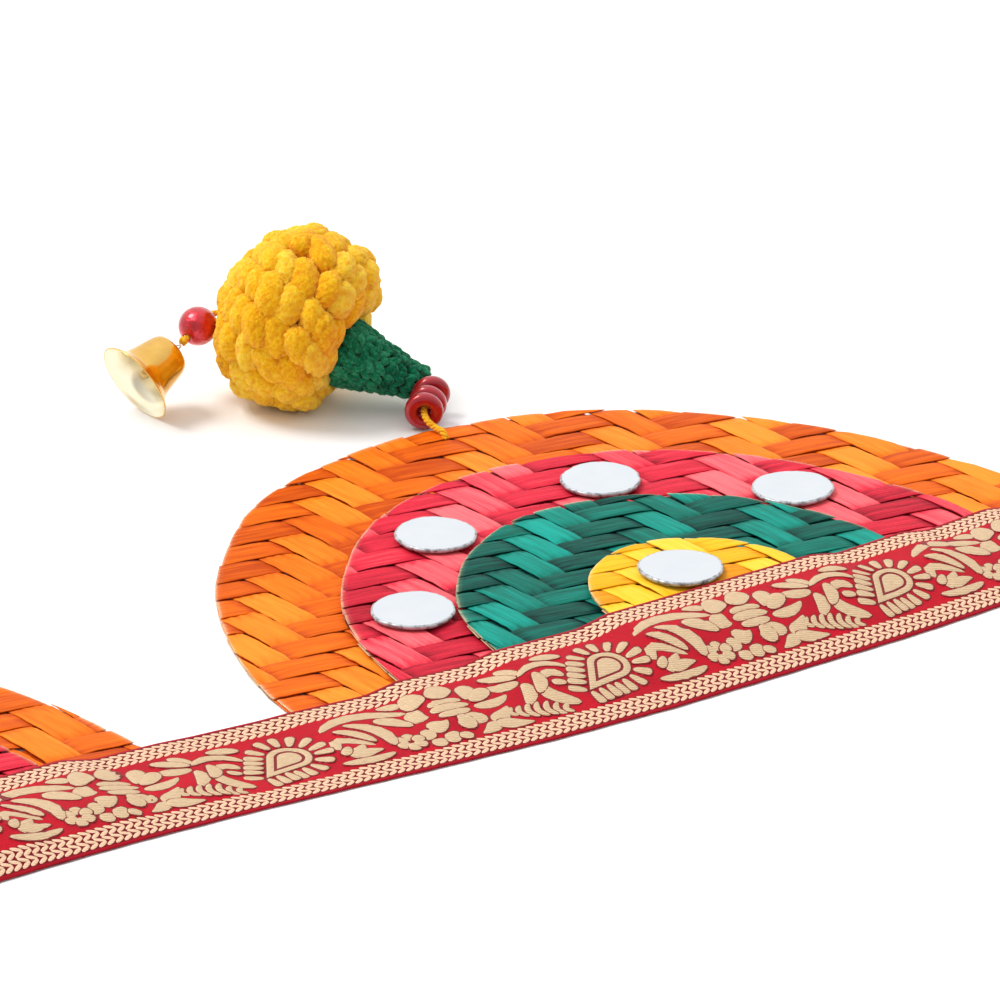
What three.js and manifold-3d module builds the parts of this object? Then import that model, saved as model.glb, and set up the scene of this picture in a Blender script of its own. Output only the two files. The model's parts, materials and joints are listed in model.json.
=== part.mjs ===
// Toran door hanging: three half-moons of layered palm-leaf mat on one woven ribbon, with glued
// mirrors and a threaded pendant of beads, crocheted marigold and bell at the top of each half-moon.
// It lies flat, face up. Millimetres: X along the ribbon, Y from the ribbon towards the pendants, Z up.
import * as THREE from 'three';
import { mergeVertices } from 'three/addons/utils/BufferGeometryUtils.js';
import Module from 'manifold-3d';

const wasm = await Module();
wasm.setup();

const GAP = 0.3;

// The half-moons: base is how far each mat runs on under the ribbon.
const PANELS = [
  { name: 'left', x: -280, y: 3, bend: 1, lastMirrorY: 19.8 },
  { name: 'middle', x: 0, y: 0, bend: 1, lastMirrorY: 13 },
  { name: 'right', x: 280, y: 3, bend: -1, lastMirrorY: 19.8 },
];
const MAT = { thickness: 1.6, heightRatio: 1.165, base: 10, arcSteps: 38, wobble: 0.004 };
const LAYERS = [
  { name: 'orange', halfWidth: 120, x: 0, y: 0, colour: 0xe8741c },
  { name: 'red', halfWidth: 92, x: 1.5, y: -3, colour: 0xcf2b45 },
  { name: 'green', halfWidth: 63, x: 0, y: -3.7, colour: 0x0f6a50 },
  { name: 'yellow', halfWidth: 30.5, x: 1.6, y: -1.2, colour: 0xf3b01c },
];
const LAYER_STEP = MAT.thickness + GAP;

// The ribbon: sway is how far its middle wanders off a straight line beside each gap.
const RIBBON = {
  length: 914,
  width: 41.5,
  thickness: 1.2,
  middleY: -19.6,
  sway: 13.5,
  swayStart: 25,
  swayLength: 380,
  ramp: 9,
  clear: 2,
  lift: 1.6,
  colour: 0xa8262b,
};

const MIRROR = { radius: 11, thickness: 2, bevel: 0.7, sides: 16, colour: 0xdfe6ea };
// Mirror centres on a half-moon; layer is the mat that each one is glued to.
const MIRROR_PLACES = [
  { x: -34, y: 73.5, layer: 1 },
  { x: -65.6, y: 37.2, layer: 1 },
  { x: 22.8, y: 78.5, layer: 1 },
  { x: 61.8, y: 44.7, layer: 1 },
  { x: 1.3, y: 0, layer: 3 },
];

// The pendant, from the mat's edge outwards.
const YARN_RADIUS = 0.9;
const THREAD_ON_MAT = [[9, 128], [9, 133.5]];
const THREAD_LIFT = [7.8, 139];
const RING = { outer: 5.4, hole: 1.8, halfThickness: 2, sides: 10, colour: 0xb5162b };
const RING_CENTRES = [
  [9.2, 143.1, 5.6],
  [12.7, 146.5, 5.9],
  [16.2, 150, 6.6],
];
const CONE = {
  tip: [17.6, 156.9, 6.9],
  base: [0.9, 169, 16],
  tipRadius: 4.4,
  baseRadius: 10.6,
  rounds: 8,
  ridge: 0.45,
  sides: 12,
  colour: 0x15664a,
};
const FLOWER = {
  centre: [-7.7, 180.9, 24.4],
  axis: [-0.55, 0.77, 0.33],
  radius: 26.8,
  front: 24,
  back: 16,
  beadDent: 6.8,
  puffDepth: 2.2,
  rows: 6,
  around: 36,
  along: 18,
  colour: 0xf2a90f,
};
const BEAD = { centre: [-28.8, 198.7, 21], radius: 5.5, hole: 1.5, sides: 12, colour: 0xa31425 };
const BEAD_TAIL = { knotRadius: 1.35, slack: 0.5 };
const BELL = {
  mouth: [-52.5, 194, 11.1],
  axis: [0.909, 0.098, 0.404],
  height: 15,
  wall: 0.8,
  sides: 14,
  wireRadius: 0.35,
  loopRadius: 0.85,
  loopHeight: 2.2,
  eyeY: 12,
  colour: 0xc99a3c,
};
const CLAPPER = { topY: 11.3, ballY: 4.3, ballRadius: 1.4, rodRadius: 0.45, colour: 0xb98f45 };
const THREAD_COLOUR = 0xf0c23c;

function material(colour, roughness, metalness) {
  return new THREE.MeshStandardMaterial({ color: colour, roughness, metalness });
}

function named(name, geometry, finish) {
  const mesh = new THREE.Mesh(geometry, finish);
  mesh.name = name;
  return mesh;
}

function vector([x, y, z]) {
  return new THREE.Vector3(x, y, z);
}

function ease(t) {
  const s = THREE.MathUtils.clamp(t, 0, 1);
  return s * s * (3 - 2 * s);
}

// Moves every point of a geometry to place(point).
function warp(geometry, place) {
  const position = geometry.attributes.position;
  const point = new THREE.Vector3();
  for (let i = 0; i < position.count; i += 1) {
    point.fromBufferAttribute(position, i);
    const moved = place(point);
    position.setXYZ(i, moved.x, moved.y, moved.z);
  }
  geometry.computeVertexNormals();
  return geometry;
}

// A geometry as a solid, with its doubled points merged and faces without area left out.
function solidOf(geometry) {
  const bare = geometry.clone();
  bare.deleteAttribute('normal');
  bare.deleteAttribute('uv');
  const merged = mergeVertices(bare, 1e-4);
  const index = merged.index.array;
  const kept = [];
  for (let i = 0; i < index.length; i += 3) {
    const [a, b, c] = [index[i], index[i + 1], index[i + 2]];
    if (a !== b && b !== c && c !== a) kept.push(a, b, c);
  }
  return new wasm.Manifold(new wasm.Mesh({
    numProp: 3,
    vertProperties: merged.attributes.position.array,
    triVerts: new Uint32Array(kept),
  }));
}

function joined(...geometries) {
  const whole = geometries.map(solidOf).reduce((sum, next) => sum.add(next)).getMesh();
  const geometry = new THREE.BufferGeometry();
  geometry.setAttribute('position', new THREE.BufferAttribute(whole.vertProperties, 3));
  geometry.setIndex(new THREE.BufferAttribute(whole.triVerts, 1));
  geometry.computeVertexNormals();
  return geometry;
}

function revolved(profile, sides) {
  return new THREE.LatheGeometry(profile.map(([r, y]) => new THREE.Vector2(r, y)), sides);
}

// A round yarn or wire along a curve.
function tube(curve, radius, sides, steps) {
  const section = new THREE.Shape();
  for (let i = 0; i < sides; i += 1) {
    const turn = (2 * Math.PI * i) / sides;
    const corner = [radius * Math.cos(turn), radius * Math.sin(turn)];
    if (i === 0) section.moveTo(...corner);
    else section.lineTo(...corner);
  }
  return new THREE.ExtrudeGeometry(section, { steps, extrudePath: curve });
}

// Turns a mesh whose own axis is Y to point along direction, and puts it at place.
function aim(mesh, place, direction) {
  mesh.position.copy(place);
  mesh.quaternion.setFromUnitVectors(new THREE.Vector3(0, 1, 0), direction.clone().normalize());
  return mesh;
}

function matOutline(layer, phase) {
  const shape = new THREE.Shape();
  const height = layer.halfWidth * MAT.heightRatio;
  shape.moveTo(layer.x - layer.halfWidth, -MAT.base);
  shape.lineTo(layer.x + layer.halfWidth, -MAT.base);
  for (let i = 0; i <= MAT.arcSteps; i += 1) {
    const turn = (Math.PI * i) / MAT.arcSteps;
    const uneven = 1 + MAT.wobble * (Math.sin(7 * turn + phase) + 0.6 * Math.sin(13 * turn - phase));
    shape.lineTo(
      layer.x + layer.halfWidth * Math.cos(turn) * uneven,
      layer.y + height * Math.sin(turn) * uneven,
    );
  }
  return shape;
}

function mat(layer, level, panel) {
  const shape = matOutline(layer, level + panel.x);
  const geometry = new THREE.ExtrudeGeometry(shape, { depth: MAT.thickness, bevelEnabled: false });
  const mesh = named(`mat_${layer.name}_${panel.name}`, geometry, material(layer.colour, 0.75, 0));
  mesh.position.z = level * LAYER_STEP;
  return mesh;
}

// A hand-cut round mirror: its rim runs a little in and out, and is bevelled above.
function mirror(place, number, panel) {
  const { radius, thickness, bevel, sides } = MIRROR;
  const profile = [[0, 0], [radius, 0], [radius, thickness - bevel], [radius - bevel, thickness], [0, thickness]];
  const phase = 2 * number + panel.x;
  const geometry = warp(revolved(profile, sides), (p) => {
    const turn = Math.atan2(p.z, p.x);
    const cut = 1 + 0.014 * Math.sin(2 * turn + phase) + 0.01 * Math.sin(3 * turn - phase);
    return new THREE.Vector3(p.x * cut, -p.z * cut, p.y);
  });
  const mesh = named(`mirror_${number}_${panel.name}`, geometry, material(MIRROR.colour, 0.05, 1));
  const y = place.layer === 3 ? panel.lastMirrorY : place.y;
  mesh.position.set(place.x, y, (place.layer + 1) * LAYER_STEP);
  return mesh;
}

function ribbonMiddle(x) {
  const along = THREE.MathUtils.clamp((Math.abs(x) - RIBBON.swayStart) / RIBBON.swayLength, 0, 1);
  return RIBBON.middleY + RIBBON.sway * Math.sin(Math.PI * along) ** 2;
}

// How much of a layer's thickness the ribbon climbs at x: 1 over the layer, 0 past the ramp beside it.
function climb(x, panel, layer) {
  const fromEdge = layer.halfWidth + RIBBON.clear - Math.abs(x - panel.x - layer.x);
  return ease(1 + fromEdge / RIBBON.ramp);
}

function stackHeight(x) {
  let height = 0;
  for (const panel of PANELS) {
    for (const layer of LAYERS) height += LAYER_STEP * climb(x, panel, layer);
  }
  return height;
}

// The far edge stands a little off the ground where the ribbon spans the gap between two half-moons.
function gapLift(x) {
  if (Math.abs(x) > PANELS[2].x) return 0;
  const nearest = Math.max(...PANELS.map((panel) => climb(x, panel, LAYERS[0])));
  return RIBBON.lift * (1 - nearest);
}

// The ribbon's underside at x, with across running from 0 at the near edge to 1 at the far edge.
function ribbonUnderside(x, across) {
  const y = ribbonMiddle(x) + RIBBON.width * (across - 0.5);
  const nearY = ribbonMiddle(x) - RIBBON.width / 2;
  const topOfSlope = -MAT.base - RIBBON.clear;
  const raised = ease((y - nearY) / (topOfSlope - nearY));
  return new THREE.Vector3(x, y, stackHeight(x) * raised + gapLift(x) * across * across);
}

// Cross-sections stand where the ribbon climbs or leaves a layer, and now and then between.
function ribbonStations() {
  const stations = [-RIBBON.length / 2, RIBBON.length / 2];
  for (const end of [-1, 1]) {
    for (const x of [425, 441]) stations.push(end * x);
    stations.push(end * 140);
  }
  for (const panel of PANELS) {
    stations.push(panel.x);
    for (const layer of LAYERS) {
      for (const side of [-1, 1]) {
        for (const part of [0, 0.5, 1]) {
          const reach = layer.halfWidth + RIBBON.clear + part * RIBBON.ramp;
          stations.push(panel.x + layer.x + side * reach);
        }
      }
    }
  }
  return stations.sort((a, b) => a - b);
}

function ribbon() {
  const stations = ribbonStations();
  const rows = 5;
  const box = new THREE.BoxGeometry(1, 1, 1, stations.length - 1, rows, 1);
  const geometry = warp(box, (p) => {
    const x = stations[Math.round((p.x + 0.5) * (stations.length - 1))];
    const point = ribbonUnderside(x, p.y + 0.5);
    point.z += p.z > 0 ? RIBBON.thickness : 0;
    return point;
  });
  return named('ribbon', geometry, material(RIBBON.colour, 0.7, 0.1));
}

// Yarn from the mat's face, over its edge and through the three ring beads to the cone.
function thread(panel, at) {
  const onMat = MAT.thickness + GAP + YARN_RADIUS;
  const intoCone = vector(CONE.tip).add(vector([0.7, -1.2, -0.3])).toArray();
  const points = [
    ...THREAD_ON_MAT.map(([x, y]) => at([x, y, onMat])),
    at([...THREAD_LIFT, onMat + 0.9]),
    ...RING_CENTRES.map(at),
    at(intoCone),
  ];
  const geometry = tube(new THREE.CatmullRomCurve3(points), YARN_RADIUS, 6, 14);
  return named(`thread_${panel.name}`, geometry, material(THREAD_COLOUR, 0.9, 0));
}

function ringBeads(panel, at) {
  const middle = (RING.outer + RING.hole) / 2;
  const half = (RING.outer - RING.hole) / 2;
  const profile = [];
  for (let i = 0; i <= 6; i += 1) {
    const turn = (2 * Math.PI * i) / 6;
    profile.push([middle + half * Math.cos(turn), RING.halfThickness * Math.sin(turn)]);
  }
  profile[6] = profile[0];
  const strung = [[...THREAD_LIFT, RING_CENTRES[0][2]], ...RING_CENTRES, CONE.tip].map(at);
  return RING_CENTRES.map((_, i) => {
    const [before, centre, after] = strung.slice(i, i + 3);
    const finish = material(RING.colour, 0.2, 0.1);
    const mesh = named(`ring_bead_${i + 1}_${panel.name}`, revolved(profile, RING.sides), finish);
    return aim(mesh, centre, after.clone().sub(before));
  });
}

// The crocheted cone: a revolved form with one ridge a round, bent along a curve up to the flower's back.
function cone(panel, at) {
  const steps = CONE.rounds * 2;
  const profile = [[0, 0], [CONE.tipRadius / 2, 0]];
  for (let i = 0; i <= steps; i += 1) {
    const along = i / steps;
    const swell = i % 2 ? CONE.ridge : -CONE.ridge;
    const radius = THREE.MathUtils.lerp(CONE.tipRadius, CONE.baseRadius, along ** 0.9) + swell;
    profile.push([radius, 0.04 + 0.96 * along]);
  }
  profile.push([0, 1]);
  const axis = at(FLOWER.axis).normalize();
  const tip = at(CONE.tip);
  const base = at(CONE.base);
  const behind = base.clone().sub(at(FLOWER.centre)).dot(axis);
  base.addScaledVector(axis, -(FLOWER.back + GAP) - behind);
  const path = new THREE.QuadraticBezierCurve3(tip, base.clone().addScaledVector(axis, -8), base);
  const upright = new THREE.Vector3(0, 0, 1);
  const geometry = warp(revolved(profile, CONE.sides), (p) => {
    const tangent = path.getTangent(p.y);
    const side = tangent.clone().cross(upright).normalize();
    const up = side.clone().cross(tangent);
    return path.getPoint(p.y).addScaledVector(side, p.x).addScaledVector(up, p.z);
  });
  return named(`cone_${panel.name}`, geometry, material(CONE.colour, 0.95, 0));
}

// Height of the puffed stitches, from 0 in the grooves to 1 on a puff's crown.
function puff(polar, turn) {
  const row = (polar / Math.PI) * FLOWER.rows;
  const level = Math.min(Math.floor(row), FLOWER.rows - 1);
  const ring = Math.sin((Math.PI * (level + 0.5)) / FLOWER.rows);
  const stitches = Math.max(4, Math.round(12 * ring));
  const across = Math.abs(Math.sin((stitches * turn) / 2 + level));
  return Math.abs(Math.sin(Math.PI * row)) ** 0.7 * across ** 0.7;
}

// The crocheted marigold: a ball, flat at the back where the cone joins, covered in puffs.
// The round bead is pulled into its face, and it lies on a small flat spot.
function flower(panel, at) {
  const ball = new THREE.SphereGeometry(1, FLOWER.around, FLOWER.along);
  const shaped = warp(ball, (p) => {
    const polar = Math.acos(THREE.MathUtils.clamp(p.y, -1, 1));
    const turn = Math.atan2(p.z, p.x);
    const depth = FLOWER.puffDepth * (1 - puff(polar, turn));
    const behind = FLOWER.back * (1 - (1 + Math.min(p.y, 0)) ** 2.2);
    const axial = p.y > 0 ? p.y * (FLOWER.front - depth) : -behind;
    const width = FLOWER.radius - depth;
    return new THREE.Vector3(p.x * width, axial, p.z * width);
  });
  const posed = aim(new THREE.Object3D(), at(FLOWER.centre), at(FLOWER.axis));
  posed.updateMatrix();
  shaped.applyMatrix4(posed.matrix);
  const bead = at(BEAD.centre);
  const resting = warp(shaped, (p) => {
    const fromBead = p.clone().sub(bead);
    const dented = bead.clone().add(fromBead.clampLength(FLOWER.beadDent, Infinity));
    return dented.setZ(Math.max(dented.z, 0));
  });
  return named(`flower_${panel.name}`, resting, material(FLOWER.colour, 0.95, 0));
}

// The way the yarn leaves the round bead: straight at the loop on the bell's crown.
function towardsBell(at) {
  const loop = at(BELL.mouth).addScaledVector(at(BELL.axis).normalize(), BELL.height + BELL.loopHeight);
  return loop.sub(at(BEAD.centre)).normalize();
}

function roundBead(panel, at) {
  const profile = [];
  const steps = 7;
  const reach = Math.acos(BEAD.hole / BEAD.radius);
  for (let i = 0; i <= steps; i += 1) {
    const turn = THREE.MathUtils.lerp(-reach, reach, i / steps);
    profile.push([BEAD.radius * Math.cos(turn), BEAD.radius * Math.sin(turn)]);
  }
  profile[0][0] = BEAD.hole;
  profile[steps][0] = BEAD.hole;
  profile.push(profile[0]);
  const finish = material(BEAD.colour, 0.15, 0.6);
  const mesh = named(`round_bead_${panel.name}`, revolved(profile, BEAD.sides), finish);
  return aim(mesh, at(BEAD.centre), towardsBell(at));
}

// Yarn out of the flower's face and through the round bead, ending in a knot towards the bell.
function tail(panel, at) {
  const bead = at(BEAD.centre);
  const out = towardsBell(at);
  const enter = bead.clone().addScaledVector(out, GAP - FLOWER.beadDent + BEAD_TAIL.slack);
  const leave = bead.clone().addScaledVector(out, BEAD.radius + BEAD_TAIL.slack);
  const knot = new THREE.SphereGeometry(BEAD_TAIL.knotRadius, 8, 6);
  const place = bead.clone().addScaledVector(out, BEAD.radius + GAP + BEAD_TAIL.knotRadius);
  knot.translate(place.x, place.y, place.z);
  const yarn = tube(new THREE.LineCurve3(enter, leave), YARN_RADIUS, 6, 1);
  const geometry = joined(yarn, knot);
  return named(`tail_${panel.name}`, geometry, material(THREAD_COLOUR, 0.9, 0));
}

// A wire bow with two legs: up is 1 for the outer loop and -1 for the eye inside the crown.
function wireBow(legY, bowY, up) {
  const path = new THREE.CurvePath();
  const radius = BELL.loopRadius;
  path.add(new THREE.LineCurve3(vector([-radius, legY, 0]), vector([-radius, bowY, 0])));
  path.add(new THREE.CubicBezierCurve3(
    vector([-radius, bowY, 0]),
    vector([-radius, bowY + up * 1.3 * radius, 0]),
    vector([radius, bowY + up * 1.3 * radius, 0]),
    vector([radius, bowY, 0]),
  ));
  path.add(new THREE.LineCurve3(vector([radius, bowY, 0]), vector([radius, legY, 0])));
  return tube(path, BELL.wireRadius, 6, 10);
}

function bell(panel, at) {
  const outside = [
    [12.1, 0], [11.3, 0.9], [9.3, 2.4], [8.2, 4.2], [7.5, 7], [6.9, 10], [6.2, 13], [5.1, 14.5], [3, 14.9],
  ];
  const profile = [[0, BELL.height - BELL.wall], [2.6, 14.1]];
  for (const [radius, y] of outside.slice(1, 8).reverse()) {
    profile.push([radius - BELL.wall, y - 0.2 - 0.03 * y]);
  }
  profile.push([outside[0][0] - BELL.wall, 0], ...outside, [0, BELL.height]);
  const cup = revolved(profile, BELL.sides);
  const crown = BELL.height - BELL.wall / 2;
  const loop = wireBow(crown, BELL.height + BELL.loopHeight - 1, 1);
  const eye = wireBow(crown, BELL.eyeY + 1, -1);
  const mesh = named(`bell_${panel.name}`, joined(cup, loop, eye), material(BELL.colour, 0.25, 1));
  return aim(mesh, at(BELL.mouth), at(BELL.axis));
}

// The bell's clapper: a short rod with a ball, hooked under the wire eye.
function clapper(panel, at) {
  const { topY, ballY, ballRadius, rodRadius } = CLAPPER;
  const rodEnd = ballY + Math.sqrt(ballRadius ** 2 - rodRadius ** 2);
  const profile = [[0, ballY - ballRadius]];
  for (const turn of [-50, -15, 20, 50]) {
    const angle = THREE.MathUtils.degToRad(turn);
    profile.push([ballRadius * Math.cos(angle), ballY + ballRadius * Math.sin(angle)]);
  }
  profile.push([rodRadius, rodEnd], [rodRadius, topY - 0.3], [rodRadius / 2, topY], [0, topY]);
  const mesh = named(`clapper_${panel.name}`, revolved(profile, 8), material(CLAPPER.colour, 0.35, 1));
  return aim(mesh, at(BELL.mouth), at(BELL.axis));
}

// The pieces of one half-moon. Its pendant falls to one side, which panel.bend gives.
function halfMoon(panel) {
  const group = new THREE.Group();
  const at = ([x, y, z]) => new THREE.Vector3(panel.bend * x, y, z);
  LAYERS.forEach((layer, level) => group.add(mat(layer, level, panel)));
  MIRROR_PLACES.forEach((place, i) => group.add(mirror(place, i + 1, panel)));
  group.add(thread(panel, at), ...ringBeads(panel, at), cone(panel, at), flower(panel, at));
  group.add(roundBead(panel, at), tail(panel, at), bell(panel, at), clapper(panel, at));
  group.position.set(panel.x, panel.y, 0);
  return group;
}

// The whole hanging, with its origin on the ground under the middle of its box.
const toran = new THREE.Group();
toran.add(ribbon(), ...PANELS.map(halfMoon));
toran.updateMatrixWorld(true);
const middle = new THREE.Box3().setFromObject(toran, true).getCenter(new THREE.Vector3());
toran.position.set(-middle.x, -middle.y, 0);
toran.updateMatrixWorld(true);

export default toran;
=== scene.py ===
"""Toran door hanging: three plaited palm-leaf half-moons on a brocade ribbon, with mirrors and pendants.

Lengths inside the making functions are millimetres; build_piece turns them into metres.
"""
import json
import math

import bpy
import numpy as np
from bpy.props import FloatProperty, FloatVectorProperty, IntProperty, PointerProperty
from mathutils import Matrix, Vector


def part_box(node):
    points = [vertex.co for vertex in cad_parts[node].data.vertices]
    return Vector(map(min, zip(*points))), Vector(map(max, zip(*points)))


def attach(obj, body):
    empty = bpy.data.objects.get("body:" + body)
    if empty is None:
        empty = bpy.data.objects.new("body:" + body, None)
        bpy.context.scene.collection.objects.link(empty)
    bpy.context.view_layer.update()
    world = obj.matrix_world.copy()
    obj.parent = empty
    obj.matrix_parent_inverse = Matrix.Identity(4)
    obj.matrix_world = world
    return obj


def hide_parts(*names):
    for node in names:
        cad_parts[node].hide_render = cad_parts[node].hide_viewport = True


bl_info = {
    "name": "Toran Door Hanging",
    "version": (1, 0, 0),
    "blender": (4, 5, 0),
    "location": "View3D > Sidebar > Toran",
    "description": "Plaited mats, brocade ribbon, mirrors and crocheted pendants around the fixed frame",
    "category": "Object",
}

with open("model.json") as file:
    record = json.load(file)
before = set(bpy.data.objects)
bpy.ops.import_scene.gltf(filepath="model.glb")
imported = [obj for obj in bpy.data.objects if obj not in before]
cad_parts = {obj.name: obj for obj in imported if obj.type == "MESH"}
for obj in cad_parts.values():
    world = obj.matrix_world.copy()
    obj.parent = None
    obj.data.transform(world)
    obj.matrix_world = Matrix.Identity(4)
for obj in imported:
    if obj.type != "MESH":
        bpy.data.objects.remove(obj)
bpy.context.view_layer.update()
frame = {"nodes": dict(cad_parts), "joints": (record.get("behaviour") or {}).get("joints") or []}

MM = 0.001
PLACES = ("left", "middle", "right")
LAYERS = ("orange", "red", "green", "yellow")
BODY = "hanging"
MIRRORS_EACH = 5
RINGS_EACH = 3
UV_TILE = 10.0  # one unit of a UV map, in mm


# Meshes from arrays


def grid_quads(rows, columns, wrap=False):
    """Faces between neighbouring points of a rows by columns grid; wrap joins the last column to the first."""
    across = np.arange(columns if wrap else columns - 1)
    row, left = (side.ravel() for side in np.meshgrid(np.arange(rows - 1), across, indexing="ij"))
    right = (left + 1) % columns
    corners = (row * columns + left, row * columns + right, (row + 1) * columns + right, (row + 1) * columns + left)
    return np.stack(corners, 1)


def repeated(faces, copies, points_each):
    """The same faces for each of many copies of one grid of points, laid one after another."""
    shifts = np.arange(copies) * points_each
    return (faces[None] + shifts[:, None, None]).reshape(-1, faces.shape[1])


def shell(points, faces, uv=None, tone=0.5, edge=0.0):
    """One closed or open skin: points in mm, (faces, finish number) pairs and values per point."""
    count = len(points)
    return {
        "points": points,
        "faces": faces,
        "uv": np.zeros((count, 2)) if uv is None else uv / UV_TILE,
        "tone": np.broadcast_to(tone, count),
        "edge": np.broadcast_to(edge, count),
    }


def build_piece(name, shells, finishes, body=BODY, stands_for=()):
    """One object from its skins, riding on a body and standing for the solids that it shows."""
    starts = np.cumsum([0] + [len(skin["points"]) for skin in shells])
    points = np.concatenate([skin["points"] for skin in shells]) * MM
    lists = [
        (faces + start, number)
        for skin, start in zip(shells, starts)
        for faces, number in skin["faces"]
    ]
    corners = np.concatenate([faces.ravel() for faces, _ in lists])
    sizes = np.concatenate([np.full(len(faces), faces.shape[1]) for faces, _ in lists])
    numbers = np.concatenate([np.full(len(faces), number) for faces, number in lists])
    mesh = bpy.data.meshes.new(name)
    mesh.vertices.add(len(points))
    mesh.vertices.foreach_set("co", points.astype(np.float32).ravel())
    mesh.loops.add(len(corners))
    mesh.loops.foreach_set("vertex_index", corners.astype(np.int32))
    mesh.polygons.add(len(sizes))
    mesh.polygons.foreach_set("loop_start", (np.cumsum(sizes) - sizes).astype(np.int32))
    mesh.polygons.foreach_set("material_index", numbers.astype(np.int32))
    mesh.polygons.foreach_set("use_smooth", np.ones(len(sizes), bool))
    for finish in finishes:
        mesh.materials.append(finish)
    uv = np.concatenate([skin["uv"] for skin in shells])
    mesh.uv_layers.new(name="strand").uv.foreach_set("vector", uv[corners].astype(np.float32).ravel())
    for key in ("tone", "edge"):
        values = np.concatenate([skin[key] for skin in shells])
        layer = mesh.attributes.new(key, "FLOAT", "POINT")
        layer.data.foreach_set("value", values.astype(np.float32))
    mesh.update(calc_edges=True)
    if mesh.validate():
        raise RuntimeError(f"{name} has faces that can't stand")
    piece = bpy.data.objects.new(name, mesh)
    bpy.context.scene.collection.objects.link(piece)
    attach(piece, body)
    if stands_for:
        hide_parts(*stands_for)
    return piece


def unit(vector):
    return vector / np.linalg.norm(vector, axis=-1, keepdims=True)


def mesh_points(node):
    """The corners of a solid, in mm."""
    mesh = frame["nodes"][node].data
    points = np.empty(len(mesh.vertices) * 3)
    mesh.vertices.foreach_get("co", points)
    return points.reshape(-1, 3) / MM


def box_middle(node):
    low, high = (np.array(corner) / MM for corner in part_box(node))
    return (low + high) / 2


def tube(path, radius, sides=10, uv_turns=1.0):
    """A round closed tube: a circle carried along the path, level with the ground, with flat ends."""
    path = np.asarray(path, float)
    ahead = unit(np.gradient(path, axis=0))
    side = unit(np.cross(ahead, (0.0, 0.0, 1.0)))
    over = np.cross(side, ahead)
    turn = np.linspace(0, 2 * np.pi, sides, endpoint=False)
    radius = np.broadcast_to(radius, len(path))[:, None, None]
    ring = np.cos(turn)[None, :, None] * side[:, None] - np.sin(turn)[None, :, None] * over[:, None]
    points = (path[:, None] + radius * ring).reshape(-1, 3)
    run = np.concatenate([[0], np.cumsum(np.linalg.norm(np.diff(path, axis=0), axis=1))])
    uv = np.stack(np.broadcast_arrays(run[:, None], uv_turns * turn[None]), -1).reshape(-1, 2)
    last = (len(path) - 1) * sides
    ends = np.stack([np.arange(sides)[::-1], last + np.arange(sides)])
    return shell(points, [(grid_quads(len(path), sides, wrap=True), 0), (ends, 0)], uv)


def yarn(path, radius, plies=3, pitch=4.0):
    """Plied yarn: thin tubes that wind round one path, each a helix of the given pitch in mm."""
    path = np.asarray(path, float)
    ahead = unit(np.gradient(path, axis=0))
    side = unit(np.cross(ahead, (0.0, 0.0, 1.0)))
    over = np.cross(side, ahead)
    run = np.concatenate([[0], np.cumsum(np.linalg.norm(np.diff(path, axis=0), axis=1))])
    strands = []
    for ply in range(plies):
        turn = (2 * np.pi * (run / pitch + ply / plies))[:, None]
        centre = path + radius * 0.48 * (np.cos(turn) * side + np.sin(turn) * over)
        strands.append(tube(centre, radius * 0.56, sides=7))
    return strands


def smooth_path(points, steps):
    """A smooth curve through points: each stretch is a cubic whose slopes come from its neighbours."""
    points = np.asarray(points, float)
    slopes = np.gradient(points, axis=0)
    t = np.linspace(0, len(points) - 1, steps)
    start = np.minimum(t.astype(int), len(points) - 2)
    u = (t - start)[:, None]
    a, b, ma, mb = points[start], points[start + 1], slopes[start], slopes[start + 1]
    return (
        (2 * u**3 - 3 * u**2 + 1) * a
        + (u**3 - 2 * u**2 + u) * ma
        + (3 * u**2 - 2 * u**3) * b
        + (u**3 - u**2) * mb
    )


def axes_along(direction):
    """Two unit vectors square to a direction, and the direction itself, as rows."""
    direction = unit(np.asarray(direction, float))
    side = unit(np.cross(direction, (0.0, 0.0, 1.0)))
    return np.stack([side, np.cross(side, direction), direction])


def revolve(profile, base, direction, sides=48, finish=0, uneven=None):
    """A profile of (radius, height) turned round an axis; its first and last points close on the axis."""
    profile = np.asarray(profile, float)
    side, over, ahead = axes_along(direction)
    turn = np.linspace(0, 2 * np.pi, sides, endpoint=False)
    inner = profile[1:-1]
    reach = inner[:, 0][:, None] * (1 if uneven is None else uneven(turn)[None])
    ring = np.cos(turn)[None, :, None] * side + np.sin(turn)[None, :, None] * over
    body = base + reach[..., None] * ring + inner[:, 1][:, None, None] * ahead
    tips = base + profile[[0, -1], 1][:, None] * ahead
    points = np.concatenate([body.reshape(-1, 3), tips])
    rows = len(inner)
    around = np.arange(sides)
    after = (around + 1) % sides
    low, high = rows * sides, rows * sides + 1
    bottom = np.stack([np.full(sides, low), around, after], 1)
    top = np.stack([np.full(sides, high), (rows - 1) * sides + after, (rows - 1) * sides + around], 1)
    run = np.concatenate([[0], np.cumsum(np.linalg.norm(np.diff(profile, axis=0), axis=1))])
    uv = np.stack(np.broadcast_arrays(run[1:-1, None], turn[None] * 2), -1).reshape(-1, 2)
    uv = np.concatenate([uv, [[run[0], 0], [run[-1], 0]]])
    numbers = np.broadcast_to(finish, rows - 1)
    strips = grid_quads(rows, sides, wrap=True)[:, ::-1].reshape(rows - 1, sides, 4)
    faces = [(strips[i], int(numbers[i])) for i in range(rows - 1)]
    faces += [(bottom, int(numbers[0])), (top, int(numbers[-1]))]
    return shell(points, faces, uv)


# Colours and node groups


def linear(colour):
    """A colour as painters give it, 0 to 255, as the linear light that shaders take."""
    share = np.array(colour[:3]) / 255
    light = np.where(share <= 0.04045, share / 12.92, ((share + 0.055) / 1.055) ** 2.4)
    return (*light, 1.0)


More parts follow.
